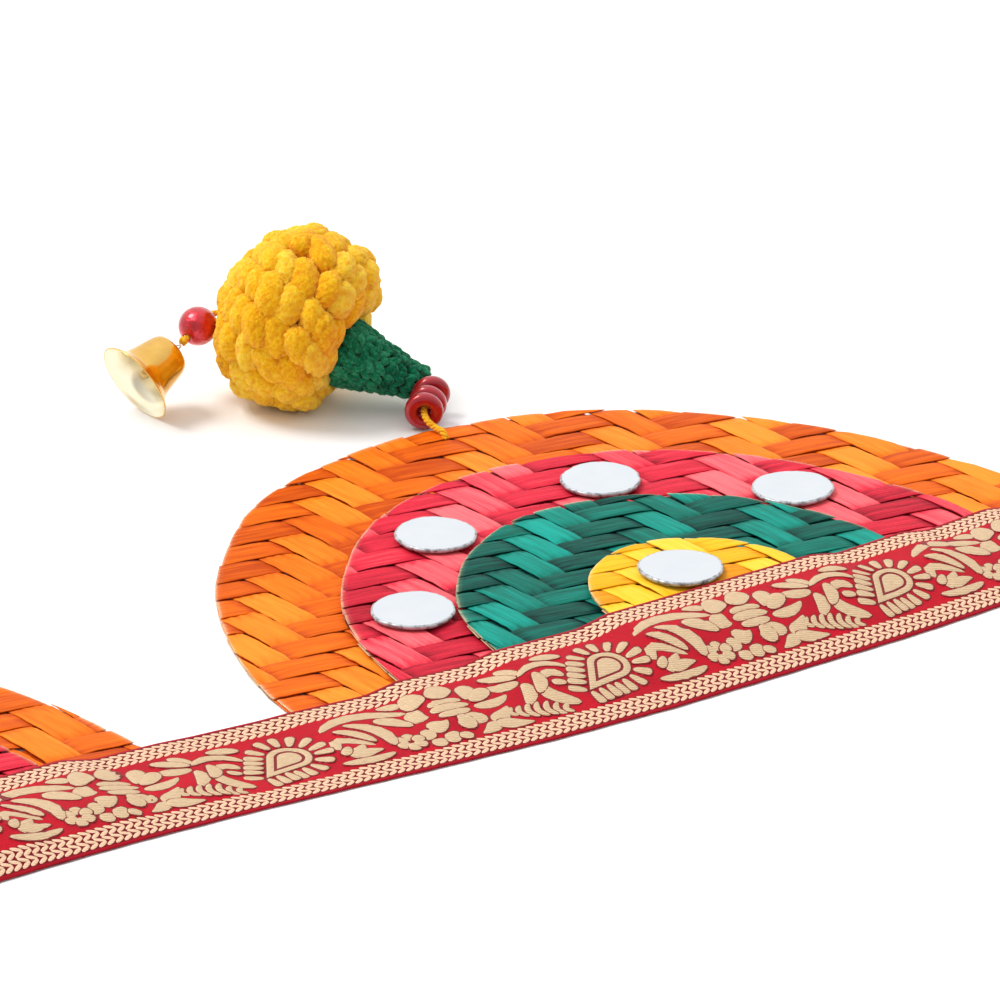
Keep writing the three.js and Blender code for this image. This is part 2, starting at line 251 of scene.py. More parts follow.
def add_node(tree, kind, inputs=(), **settings):
    """A node with its settings, and its inputs set to values or linked to sockets."""
    node = tree.nodes.new(kind)
    for key, value in settings.items():
        setattr(node, key, value)
    for key, value in dict(inputs).items():
        if isinstance(value, bpy.types.NodeSocket):
            tree.links.new(value, node.inputs[key])
        else:
            node.inputs[key].default_value = value
    return node


def new_group(name, inputs, outputs):
    """An empty shader node group with named sockets, and its two end nodes."""
    tree = bpy.data.node_groups.new(name, "ShaderNodeTree")
    for label, kind, value in inputs:
        socket = tree.interface.new_socket(name=label, in_out="INPUT", socket_type=f"NodeSocket{kind}")
        if value is not None:
            socket.default_value = value
    for label, kind in outputs:
        tree.interface.new_socket(name=label, in_out="OUTPUT", socket_type=f"NodeSocket{kind}")
    return tree, tree.nodes.new("NodeGroupInput"), tree.nodes.new("NodeGroupOutput")


def stretched_noise_group():
    """Fine streaks: noise on coordinates that are squeezed along one way of the strand."""
    inputs = [("Vector", "Vector", None), ("Along", "Float", 1.0), ("Across", "Float", 20.0), ("Detail", "Float", 4.0)]
    tree, start, end = new_group("Streaks", inputs, [("Streak", "Float")])
    parts = add_node(
        tree,
        "ShaderNodeCombineXYZ",
        {0: start.outputs["Along"], 1: start.outputs["Across"], 2: start.outputs["Across"]},
    )
    stretched = add_node(
        tree,
        "ShaderNodeVectorMath",
        {0: start.outputs["Vector"], 1: parts.outputs[0]},
        operation="MULTIPLY",
    )
    noise = add_node(
        tree,
        "ShaderNodeTexNoise",
        {"Vector": stretched.outputs[0], "Scale": 1.0, "Detail": start.outputs["Detail"], "Roughness": 0.6},
    )
    spread = add_node(
        tree, "ShaderNodeMapRange", {"Value": noise.outputs["Fac"], "From Min": 0.3, "From Max": 0.7}
    )
    tree.links.new(spread.outputs[0], end.inputs["Streak"])
    return tree


def dyed_group():
    """Three shades of one dye: dark to light by tone and streak, and a fourth colour where the edge value is high,
    which is undyed straw on leaf and painted shade in the hollows of yarn.
    """
    inputs = [
        ("Dark", "Color", None),
        ("Middle", "Color", None),
        ("Light", "Color", None),
        ("Undyed And Shade", "Color", None),
        ("Tone", "Float", 0.5),
        ("Streak", "Float", 0.5),
        ("Edge", "Float", 0.0),
    ]
    tree, start, end = new_group("Dyed strand with painted shade", inputs, [("Color", "Color")])
    streak = add_node(
        tree, "ShaderNodeMath", {0: start.outputs["Streak"], 1: 0.6, 2: -0.3}, operation="MULTIPLY_ADD"
    )
    level = add_node(
        tree, "ShaderNodeMath", {0: start.outputs["Tone"], 1: streak.outputs[0]}, operation="ADD", use_clamp=True
    )
    low = add_node(tree, "ShaderNodeMapRange", {"Value": level.outputs[0], "From Max": 0.5})
    high = add_node(tree, "ShaderNodeMapRange", {"Value": level.outputs[0], "From Min": 0.5})
    shade = mix_colour(tree, low.outputs[0], start.outputs["Dark"], start.outputs["Middle"])
    shade = mix_colour(tree, high.outputs[0], shade, start.outputs["Light"])
    # The fourth colour is undyed straw on leaf and painted shade on yarn.
    bare_and_painted_shade = mix_colour(tree, start.outputs["Edge"], shade, start.outputs["Undyed And Shade"])
    tree.links.new(bare_and_painted_shade, end.inputs["Color"])
    return tree


def mix_colour(tree, share, first, second):
    node = tree.nodes.new("ShaderNodeMix")
    node.data_type = "RGBA"
    for socket, value in ((node.inputs[0], share), (node.inputs[6], first), (node.inputs[7], second)):
        if isinstance(value, bpy.types.NodeSocket):
            tree.links.new(value, socket)
        else:
            socket.default_value = value
    return node.outputs[2]


def shared_group(name):
    """The node group of that name, built when it is first asked for."""
    makers = {"Streaks": stretched_noise_group, "Dyed strand with painted shade": dyed_group}
    return bpy.data.node_groups.get(name) or makers[name]()


def new_finish(name, **values):
    """A material, its node tree and its Principled shader, with the given constants on the shader."""
    material = bpy.data.materials.new(name)
    material.use_nodes = True
    tree = material.node_tree
    shader = tree.nodes["Principled BSDF"]
    for key, value in values.items():
        shader.inputs[key.replace("_", " ")].default_value = value
    return material, tree, shader


def set_group(tree, name, inputs):
    node = tree.nodes.new("ShaderNodeGroup")
    node.node_tree = shared_group(name)
    for key, value in inputs.items():
        if isinstance(value, bpy.types.NodeSocket):
            tree.links.new(value, node.inputs[key])
        else:
            node.inputs[key].default_value = value
    return node


def attribute(tree, name):
    return add_node(tree, "ShaderNodeAttribute", attribute_name=name).outputs["Fac"]


def strand_uv(tree):
    return add_node(tree, "ShaderNodeUVMap", uv_map="strand").outputs["UV"]


def bumped(tree, shader, height, strength, distance):
    """Sends a height through a Bump node into the shader's normal; distance is in mm."""
    bump = add_node(
        tree, "ShaderNodeBump", {"Height": height, "Strength": strength, "Distance": distance * MM}
    )
    tree.links.new(bump.outputs[0], shader.inputs["Normal"])


def leaf_finish(layer, shades):
    """Dyed palm leaf: lengthwise fibre streaks, a tone for each strip that also carries painted shade and sheen, and
    straw showing where it is cut.
    """
    material, tree, shader = new_finish(
        f"palm_leaf_{layer}", Roughness=0.55, Specular_IOR_Level=0.1
    )
    uv = strand_uv(tree)
    fine = set_group(tree, "Streaks", {"Vector": uv, "Along": 0.9, "Across": 26.0, "Detail": 5.0})
    broad = set_group(tree, "Streaks", {"Vector": uv, "Along": 0.35, "Across": 5.0, "Detail": 2.0})
    both = add_node(
        tree, "ShaderNodeMath", {0: fine.outputs[0], 1: broad.outputs[0]}, operation="ADD"
    )
    half = add_node(tree, "ShaderNodeMath", {0: both.outputs[0], 1: 0.5}, operation="MULTIPLY")
    edge = add_node(
        tree, "ShaderNodeMath", {0: attribute(tree, "edge"), 1: fine.outputs[0]}, operation="MULTIPLY"
    )
    colour = set_group(
        tree,
        "Dyed strand with painted shade",
        {
            "Dark": linear(shades[0]),
            "Middle": linear(shades[1]),
            "Light": linear(shades[2]),
            "Undyed And Shade": linear(STRAW),
            "Tone": attribute(tree, "tone"),
            "Streak": half.outputs[0],
            "Edge": edge.outputs[0],
        },
    )
    tree.links.new(colour.outputs[0], shader.inputs["Base Color"])
    bumped(tree, shader, half.outputs[0], 0.8, 0.22)
    return material


def cut_finish():
    """The raw cut through a leaf strip: pale straw with pith specks."""
    material, tree, shader = new_finish("cut_straw", Roughness=0.8)
    noise = add_node(
        tree,
        "ShaderNodeTexNoise",
        {"Vector": add_node(tree, "ShaderNodeTexCoord").outputs["Object"], "Scale": 2500.0, "Detail": 2.0},
    )
    tree.links.new(
        mix_colour(tree, noise.outputs["Fac"], linear((206, 172, 120)), linear(STRAW)),
        shader.inputs["Base Color"],
    )
    return material


def yarn_finish(name, shades, scale=1100.0, depth=0.5):
    """Soft yarn: crinkled fibres all over, painted shade in the hollows and on the undersides of stitches, with a
    little fuzz.
    """
    material, tree, shader = new_finish(
        name, Roughness=0.85, Specular_IOR_Level=0.1, Sheen_Weight=0.12, Sheen_Roughness=0.5
    )
    place = add_node(tree, "ShaderNodeTexCoord").outputs["Object"]
    fibres = set_group(tree, "Streaks", {"Vector": place, "Along": scale, "Across": scale, "Detail": 6.0})
    colour = set_group(
        tree,
        "Dyed strand with painted shade",
        {
            "Dark": linear(shades[0]),
            "Middle": linear(shades[1]),
            "Light": linear(shades[2]),
            # The darkest shade stands in where the edge value is high: painted shade in the stitches' hollows and
            # undersides.
            "Undyed And Shade": linear(shades[0]),
            "Tone": attribute(tree, "tone"),
            "Streak": fibres.outputs[0],
            "Edge": attribute(tree, "edge"),
        },
    )
    tree.links.new(colour.outputs[0], shader.inputs["Base Color"])
    bumped(tree, shader, fibres.outputs[0], 0.7, depth)
    return material


def lacquer_finish(name, dark, light, metallic, depth, scale):
    """Lacquer over a metallic ground: clouded colour under a clear coat."""
    material, tree, shader = new_finish(
        name, Metallic=metallic, Roughness=0.3, Coat_Weight=0.8, Coat_Roughness=0.05
    )
    noise = add_node(
        tree,
        "ShaderNodeTexNoise",
        {"Vector": add_node(tree, "ShaderNodeTexCoord").outputs["Object"], "Scale": scale, "Detail": 3.0},
    )
    tree.links.new(
        mix_colour(tree, noise.outputs["Fac"], linear(dark), linear(light)), shader.inputs["Base Color"]
    )
    bumped(tree, shader, noise.outputs["Fac"], 0.5, depth)
    return material


def metal_finish(name, dark, light, roughness):
    """Plated sheet metal, lightly clouded and drawn in fine rings."""
    material, tree, shader = new_finish(name, Metallic=1.0, Roughness=roughness)
    cloud = add_node(
        tree,
        "ShaderNodeTexNoise",
        {"Vector": add_node(tree, "ShaderNodeTexCoord").outputs["Object"], "Scale": 260.0, "Detail": 3.0},
    )
    tree.links.new(
        mix_colour(tree, cloud.outputs["Fac"], linear(dark), linear(light)), shader.inputs["Base Color"]
    )
    rings = set_group(tree, "Streaks", {"Vector": strand_uv(tree), "Along": 30.0, "Across": 0.4, "Detail": 2.0})
    bumped(tree, shader, rings.outputs[0], 0.12, 0.1)
    return material


# Sizes and colours that a user would change

STRAW = (243, 226, 184)
MAT_SHADES = {
    "orange": ((188, 66, 2), (242, 112, 10), (253, 148, 40)),
    "red": ((136, 6, 30), (226, 40, 64), (254, 112, 118)),
    "green": ((0, 44, 40), (0, 110, 94), (8, 164, 148)),
    "yellow": ((224, 140, 6), (252, 190, 28), (255, 216, 76)),
}
STRIP_SHARE = {"orange": 1.0, "red": 0.96, "green": 0.86, "yellow": 0.92}


class ToranMatSettings(bpy.types.PropertyGroup):
    """Sizes of the plaited palm-leaf mats."""

    strip: FloatProperty(name="Strip Width", description="Pitch of the leaf strips", default=0.0101, unit="LENGTH")
    leaf: FloatProperty(name="Leaf Thickness", description="Thickness of one strip", default=0.00042, unit="LENGTH")
    rise: FloatProperty(name="Rise", description="How far a strip rises and dips", default=0.00042, unit="LENGTH")
    skew: FloatProperty(
        name="Skew", description="Turn of the strips that run along the ribbon", default=math.radians(-9), subtype="ANGLE"
    )
    cross: FloatProperty(
        name="Cross", description="Turn of the strips that cross them", default=math.radians(-85), subtype="ANGLE"
    )
    seed: IntProperty(name="Seed", description="Starts the strips' random differences", default=7)


class ToranRibbonSettings(bpy.types.PropertyGroup):
    """Sizes and colours of the brocade ribbon."""

    cloth: FloatProperty(name="Cloth", description="Thickness of the ribbon", default=0.0006, unit="LENGTH")
    repeat: FloatProperty(name="Repeat", description="Length of one repeat of the vine", default=0.09, unit="LENGTH")
    start: FloatProperty(name="Start", description="Place of the first drop motif along X", default=-0.0445, unit="LENGTH")
    relief: FloatProperty(name="Relief", description="How far the gold stands up", default=0.0001, unit="LENGTH")
    ground: FloatVectorProperty(
        name="Ground", description="Red of the ground, 0 to 255", default=(202, 12, 36), min=0, max=255
    )
    selvedge: FloatVectorProperty(
        name="Selvedge", description="Darker red of the edges, 0 to 255", default=(112, 8, 24), min=0, max=255
    )
    gold: FloatVectorProperty(
        name="Gold", description="Gold of the motifs, 0 to 255", default=(208, 182, 140), min=0, max=255
    )


class ToranPendantSettings(bpy.types.PropertyGroup):
    """Sizes of the pendants, in the frame of a half-moon."""

    flower_radius: FloatProperty(name="Flower Radius", description="Widest radius of the flower", default=0.0262, unit="LENGTH")
    puff: FloatProperty(name="Puff", description="Length of one puffed stitch", default=0.0106, unit="LENGTH")
    seed: IntProperty(name="Seed", description="Starts the stitches' random differences", default=11)


class ToranStageSettings(bpy.types.PropertyGroup):
    """The floor, the light and the camera."""

    sky: FloatProperty(name="Sky", description="Strength of the soft light on the far side", default=1.15)
    shade: FloatProperty(name="Shade", description="Strength of the soft light on the near side", default=0.5)
    key: FloatProperty(name="Key", description="Strength of the soft key light", default=1.9)
    elevation: FloatProperty(
        name="Elevation", description="Camera's height above the ground, as an angle", default=math.radians(23.55), subtype="ANGLE"
    )
    heading: FloatProperty(
        name="Heading", description="Turn of the view from +Y towards +X", default=math.radians(34.64), subtype="ANGLE"
    )
    distance: FloatProperty(name="Distance", description="From the camera to the middle half-moon", default=1.567, unit="LENGTH")
    focal: FloatProperty(name="Focal Length", description="Lens for a 36 mm sensor, in mm", default=219.8)


# The half-moons


def panel_origin(place):
    """Where a half-moon's own axes cross: the middle of its straight edge, on the ground."""
    low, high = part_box(f"mat_orange_{place}")
    hidden_base = 10.0
    return np.array([(low.x + high.x) / 2 / MM, low.y / MM + hidden_base, 0.0])


def outline_of(node):
    """A mat's outline, counter-clockwise: the corners of its upper face by their angle round its middle."""
    points = mesh_points(node)
    flat = np.unique(np.round(points[points[:, 2] > points[:, 2].max() - 0.1, :2], 2), axis=0)
    spoke = flat - flat.mean(0)
    return flat[np.argsort(np.arctan2(spoke[:, 1], spoke[:, 0]))]


def clip_lines(outline, origins, ahead):
    """Distances along straight lines at which they enter and leave a closed outline."""
    square = np.array([-ahead[1], ahead[0]])
    after = np.roll(outline, -1, axis=0)
    first = (outline @ square)[None] - (origins @ square)[:, None]
    second = (after @ square)[None] - (origins @ square)[:, None]
    crosses = (first > 0) != (second > 0)
    share = np.where(crosses, first / np.where(crosses, first - second, 1), 0)
    along = (outline @ ahead)[None] + share * ((after - outline) @ ahead)[None] - (origins @ ahead)[:, None]
    return np.where(crosses, along, np.inf).min(1), np.where(crosses, along, -np.inf).max(1)


def swing(phase):
    """Over two and under two: a cosine with its crests flattened, from -1 to 1."""
    return np.tanh(2.6 * np.cos(phase * np.pi / 2)) / np.tanh(2.6)


# Across a strip: its top from one edge to the other, then its underside back, as shares of half its width.
TOP_ACROSS = np.array([1.0, 0.93, 0.6, 0.0, -0.6, -0.93, -1.0])
UNDER_ACROSS = np.array([-0.6, 0.6])
SINK = 0.72  # how far a strip may dip below its mat's middle level, in mm


def leaf_strip(outline, level, ahead, index, phase_of, sets, random):
    """One strip, cut where it leaves the outline: a flat closed band that dives under and over its crossings.

    Its height is the flattened cosine of its place among the crossing strips, and its top is a little crowned.
    """
    pitch, leaf, rise, tone = sets
    square = np.array([-ahead[1], ahead[0]])
    reach = outline @ square
    width = pitch * random.uniform(0.9, 1.0)
    middle = (index + 0.5) * pitch + random.uniform(-0.35, 0.35)
    low, high = max(middle - width / 2, reach.min() + 0.15), min(middle + width / 2, reach.max() - 0.15)
    if high - low < 1.2:
        return None
    across = (low + high) / 2 + (high - low) / 2 * np.concatenate([TOP_ACROSS, UNDER_ACROSS])
    enter, leave = clip_lines(outline, across[:, None] * square, ahead)
    snip = random.uniform(-0.35, 0.2, 2)
    enter, leave = enter - snip[0], leave + snip[1]
    length = (leave - enter).max()
    if length < 2.5:
        return None
    count = max(4, int(length / 2.5))
    share = np.concatenate([[0, 0.8 / length], np.linspace(2 / length, 1 - 2 / length, count), [1 - 0.8 / length, 1]])
    run = enter[None] + (leave - enter)[None] * share[:, None]
    flat = run[..., None] * ahead + (across[:, None] * square)[None]
    dip = swing(phase_of(flat, index))
    height = level + rise * dip
    height += 0.07 * np.sin(run / random.uniform(9, 16) + random.uniform(0, 6)) * random.uniform(0.3, 1)
    roll = random.uniform(-0.15, 0.15) * np.sin(run / random.uniform(7, 14) + random.uniform(0, 6))
    side = np.concatenate([TOP_ACROSS, UNDER_ACROSS])
    crown = 0.12 * (1 - side**2) + roll * side
    thick = np.concatenate([np.where(abs(TOP_ACROSS) > 0.99, 0.1, 0.5), np.full(len(UNDER_ACROSS), -0.5)]) * leaf
    frayed = (0.1 * np.sin(run * 1.9 + index) + 0.08 * np.sin(run * 4.3 + 2 * index)) * (abs(side) > 0.9) * side
    flat = flat + frayed[..., None] * square
    points = np.concatenate([flat, np.maximum(height + crown + thick, level - SINK)[..., None]], -1)
    rows, columns = points.shape[:2]
    uv = np.stack(np.broadcast_arrays(run + 37 * random.uniform(), side[None] * width / 2 + 17.3 * index), -1)
    edge = np.zeros((rows, columns))
    edge[[0, -1]] = 0.85
    edge[[1, -2]] = 0.1
    last = (rows - 1) * columns
    cut = np.stack([np.arange(columns)[::-1], last + np.arange(columns)])
    # Painted shade: the strip's random tone is darkened where it dips under a crossing strip and along its two long
    # sides.
    tone_and_painted_shade = tone + random.normal(0, 0.13) - 0.4 * np.clip(0.7 - dip, 0, 1) - 0.3 * (abs(side) > 0.99)
    faces = [(grid_quads(rows, columns, wrap=True), 0), (cut, 1)]
    return shell(points.reshape(-1, 3), faces, uv.reshape(-1, 2), np.clip(tone_and_painted_shade, 0, 1).ravel(), edge.ravel())


def plaited_mat(node, layer, mats, random):
    """A 2/2 twill of leaf strips inside a mat's outline: strip i runs over strip j where j - i is 0 or 1 of four."""
    outline = outline_of(node)
    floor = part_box(node)[0].z / MM
    pitch, leaf, rise = mats.strip / MM * STRIP_SHARE[layer], mats.leaf / MM, mats.rise / MM
    level = floor + SINK + 0.03
    ways = [np.array([math.cos(turn), math.sin(turn)]) for turn in (mats.skew, mats.cross)]
    squares = [np.array([-way[1], way[0]]) for way in ways]
    shift = random.uniform(0, pitch, 2)

    def along_phase(flat, index):
        return (flat @ squares[1] + shift[1]) / pitch - index - 1

    def cross_phase(flat, index):
        return (flat @ squares[0] + shift[0]) / pitch - index + 2

    skins = []
    # Strips along the ribbon get tone 0.3 and crossing strips 0.72: partly the leaf's own colour, partly painted sheen
    # and shade from the way the light falls on each direction.
    for turn, (way, square, phase, tone) in enumerate(
        ((ways[0], squares[0], along_phase, 0.3), (ways[1], squares[1], cross_phase, 0.72))
    ):
        moved = outline + shift[turn] * square
        reach = moved @ square
        for index in range(int(reach.min() // pitch), int(reach.max() // pitch) + 1):
            def phase_of(flat, number, turn=turn, square=square, phase=phase):
                return phase(flat - shift[turn] * square, number)

            strip = leaf_strip(moved, level, way, index, phase_of, (pitch, leaf, rise, tone), random)
            if strip is not None:
                strip["points"][:, :2] -= shift[turn] * square
                skins.append(strip)
    return skins


def silvered_disc(node, number):
    """A craft mirror: a flat disc whose cut edge wanders, with a narrow bevel all round."""
    low, high = (np.array(corner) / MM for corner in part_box(node))
    middle = (low + high) / 2
    radius, thick = (high - low)[:2].mean() / 2, 0.7 * (high[2] - low[2])
    random = np.random.RandomState(40 + number)
    waves, phases = np.array([2, 3, 5, 8, 13, 21]), random.uniform(0, 6, 6)
    sizes = np.array([0.016, 0.013, 0.008, 0.005, 0.004, 0.004])

    def uneven(turn):
        return 1 + (sizes[:, None] * np.sin(waves[:, None] * turn + phases[:, None])).sum(0)

    profile = [(0, 0), (radius - 0.9, 0), (radius - 0.3, 0.25), (radius, thick * 0.55), (radius - 0.05, thick - 0.3)]
    profile += [(radius - 0.3, thick - 0.05), (radius - 0.6, thick), (radius - 0.62, thick), (0, thick)]
    finish = [1, 1, 1, 1, 1, 1, 0]
    base = np.array([middle[0], middle[1], low[2]])
    return revolve_up(profile, base, finish, uneven)


def revolve_up(profile, base, finish, uneven):
    """A profile turned round an upright axis."""
    profile = np.asarray(profile, float)
    sides = 72
    turn = np.linspace(0, 2 * np.pi, sides, endpoint=False)
    inner = profile[1:-1]
    reach = inner[:, 0][:, None] * uneven(turn)[None]
    body = np.stack(
        [reach * np.cos(turn), reach * np.sin(turn), np.broadcast_to(inner[:, 1][:, None], reach.shape)], -1
    )
    points = np.concatenate([body.reshape(-1, 3), [[0, 0, profile[0, 1]], [0, 0, profile[-1, 1]]]]) + base
    rows = len(inner)
    around, after = np.arange(sides), (np.arange(sides) + 1) % sides
    bottom = np.stack([np.full(sides, rows * sides), after, around], 1)
    top = np.stack([np.full(sides, rows * sides + 1), (rows - 1) * sides + around, (rows - 1) * sides + after], 1)
    strips = grid_quads(rows, sides, wrap=True).reshape(rows - 1, sides, 4)
    faces = [(strips[i], finish[i]) for i in range(rows - 1)] + [(bottom, finish[0]), (top, finish[-1])]
    uv = points[:, :2]
    return shell(points, faces, uv)


def mirror_finishes():
    """Silvered face with faint clouding, and the ground glass edge."""
    face, tree, shader = new_finish("mirror_face", Metallic=1.0, Roughness=0.06)
    noise = add_node(
        tree,
        "ShaderNodeTexNoise",
        {"Vector": add_node(tree, "ShaderNodeTexCoord").outputs["Object"], "Scale": 120.0, "Detail": 4.0},
    )
    tree.links.new(
        mix_colour(tree, noise.outputs["Fac"], linear((216, 222, 229)), linear((228, 232, 236))),
        shader.inputs["Base Color"],
    )
    rim, tree, shader = new_finish("mirror_rim", Metallic=0.25, Roughness=0.3)
    chips = add_node(
        tree,
        "ShaderNodeTexNoise",
        {"Vector": add_node(tree, "ShaderNodeTexCoord").outputs["Object"], "Scale": 700.0, "Detail": 5.0},
    )
    spread = add_node(
        tree, "ShaderNodeMapRange", {"Value": chips.outputs["Fac"], "From Min": 0.3, "From Max": 0.55}
    )
    tree.links.new(
        mix_colour(tree, spread.outputs[0], linear((92, 86, 82)), linear((186, 190, 194))),
        shader.inputs["Base Color"],
    )
    bumped(tree, shader, chips.outputs["Fac"], 0.6, 0.3)
    return face, rim


# The ribbon


class RibbonSurface:
    """The ribbon's solid as a surface: any point from its place along X, across from its near edge, and lift."""

    def __init__(self):
        points = np.round(mesh_points("ribbon"), 3)
        places, first = np.unique(points[:, :2], axis=0, return_inverse=True)
        under = np.full(len(places), np.inf)
        np.minimum.at(under, first.ravel(), points[:, 2])
        stations, counts = np.unique(places[:, 0], return_counts=True)
        rows = np.bincount(counts).argmax()
        kept = np.isin(places[:, 0], stations[counts == rows])
        self.stations = stations[counts == rows]
        self.across = places[kept, 1].reshape(-1, rows)
        self.under = under[kept].reshape(-1, rows)
        self.width = float(np.median(self.across[:, -1] - self.across[:, 0]))
        self.ends = self.stations[[0, -1]]

    def at(self, x, across, lift):
        """Points in mm: y runs straight across at each x, and the height comes from the rows beside it."""
        x, across, lift = np.broadcast_arrays(x, across, lift)
        rows = self.across.shape[1]
        y_rows = np.stack([np.interp(x, self.stations, self.across[:, i]) for i in range(rows)], -1)
        z_rows = np.stack([np.interp(x, self.stations, self.under[:, i]) for i in range(rows)], -1)
        place = np.clip(across / self.width, 0, 1) * (rows - 1)
        low = np.minimum(place.astype(int), rows - 2)
        share = place - low

        def between(values):
            first = np.take_along_axis(values, low[..., None], -1)[..., 0]
            second = np.take_along_axis(values, low[..., None] + 1, -1)[..., 0]
            return first + share * (second - first)

        return np.stack([x, between(y_rows), between(z_rows) + lift], -1)


def ribbon_cloth(surface, cloth):
    """The ribbon as one closed band: its top from edge to edge, then its back, with rounded selvedges."""
    x = np.linspace(surface.ends[0] + 0.3, surface.ends[1] - 0.3, 460)
    width = surface.width
    top = np.concatenate([[0, 0.3], np.linspace(1.5, width - 1.5, 22), [width - 0.3, width]])
    back = np.array([width - 0.3, width * 0.75, width * 0.5, width * 0.25, 0.3])
    across = np.concatenate([top, back])
    lift = np.concatenate([[cloth * 0.6], np.full(len(top) - 2, cloth), [cloth * 0.6], np.full(len(back), 0.05)])
    lift += 0.15
    wobble = 0.12 * np.sin(x / 1.9) + 0.1 * np.sin(x / 5.3)
    shift = wobble[:, None] * ((across < 0.1) * 1.0 - (across > width - 0.1))[None]
    points = surface.at(x[:, None], across[None], lift[None])
    points[..., 1] += shift * 0.6
    columns = len(across)
    uv = np.stack(np.broadcast_arrays(x[:, None], across[None]), -1).reshape(-1, 2)
    last = (len(x) - 1) * columns
    ends = np.stack([np.arange(columns), last + np.arange(columns)[::-1]])
    quads = grid_quads(len(x), columns, wrap=True)[:, ::-1]
    return shell(points.reshape(-1, 3), [(quads, 0), (ends, 0)], uv)


# Places across a stroke as shares of half its width.
GOLD_ACROSS = np.array([1, 0.6, 0, -0.6, -1])
PLATE_ACROSS = np.array([1, 0.88, -0.88, -1])
STITCH_ACROSS = np.array([1, 0.6, -0.6, -1])
OUTLINE = 0.42  # width of the dark plate round each stroke, painted shade that outlines the raised gold, in mm
LEVELS = 5  # neighbouring strokes lie at levels of their own, so that each shows its outline on the next
LEVEL_STEP = 0.07


def strokes(surface, chart, repeats, sunk, lift, relief, along_count, side, tone=0.2, edge=0.0):
    """Raised strokes of weft, each a line through three points with a width that swells and tapers.

    The line is the parabola through its start, middle and end. The half-width at u along it is the root of
    one minus |2u - 1| to the power blunt, times a straight taper. The height is lift plus relief times one
    minus the fourth power of the nearness to the rim, and the rim itself goes down to sunk.
    """
    s0, t0, s1, t1, s2, t2, width, blunt, taper = (chart[:, i][:, None, None] for i in range(9))
    across_count = len(side)
    u = (0.5 - 0.5 * np.cos(np.linspace(0, np.pi, along_count)))[None, :, None]
    side = side[None, None]
    weights = (1 - u) * (1 - 2 * u), 4 * u * (1 - u), u * (2 * u - 1)
    slopes = 4 * u - 3, 4 - 8 * u, 4 * u - 1
    s, ds = (sum(w * part for w, part in zip(curve, (s0, s1, s2))) for curve in (weights, slopes))
    t, dt = (sum(w * part for w, part in zip(curve, (t0, t1, t2))) for curve in (weights, slopes))
    length = np.hypot(ds, dt)
    swell = np.sqrt(np.clip(1 - abs(2 * u - 1) ** blunt, 0, 1)) * (1 + taper * (2 * u - 1)) + 0.03
    off = side * width / 2 * swell
    s, t = s - dt / length * off, t + ds / length * off
    rim = np.maximum(abs(side), abs(2 * u - 1) ** 8)
    lift, sunk = (np.broadcast_to(value, len(chart))[:, None, None] for value in (lift, sunk))
    height = np.where(rim > 0.99, sunk, lift + relief * (1 - rim**4)) + 0 * s
    s = (s[None] + repeats[:, None, None, None]).reshape(-1, along_count, across_count)
    t, height = (np.broadcast_to(part, (len(repeats), *part.shape)).reshape(s.shape) for part in (t, height))
    inside = (s.min((1, 2)) > surface.ends[0] + 0.6) & (s.max((1, 2)) < surface.ends[1] - 0.6)
    s, t, height = s[inside], t[inside], height[inside]
    points = surface.at(s, t, height).reshape(-1, 3)
    faces = repeated(grid_quads(along_count, across_count), len(s), along_count * across_count)
    return shell(points, [(faces, 0)], np.stack([s, t], -1).reshape(-1, 2), tone, edge)


def widened(chart, margin):
    """The same strokes, wider and longer by a margin all round."""
    start, middle, end = chart[:, 0:2], chart[:, 2:4], chart[:, 4:6]
    wide = chart.copy()
    wide[:, 0:2] = start - margin * unit(4 * middle - 3 * start - end)
    wide[:, 4:6] = end + margin * unit(3 * end - 4 * middle + start)
    wide[:, 6] += 2 * margin
    return wide


def outlined_strokes(surface, chart, repeats, lift, relief):
    """Gold strokes, each on a dark plate that shows round it as its outline: painted shade between the raised strokes.
    """
    level = lift + LEVEL_STEP * (np.arange(len(chart)) % LEVELS)
    # The plates' edge value of 1 turns them dark red in the gold finish: painted shade round each stroke.
    plates = strokes(
        surface, widened(chart, OUTLINE), repeats, lift - 0.04, level, 0.0, 8, PLATE_ACROSS, 0.2, 1.0
    )
    gold = strokes(surface, chart, repeats, level, level + 0.03, relief, 9, GOLD_ACROSS)
    return [plates, gold]
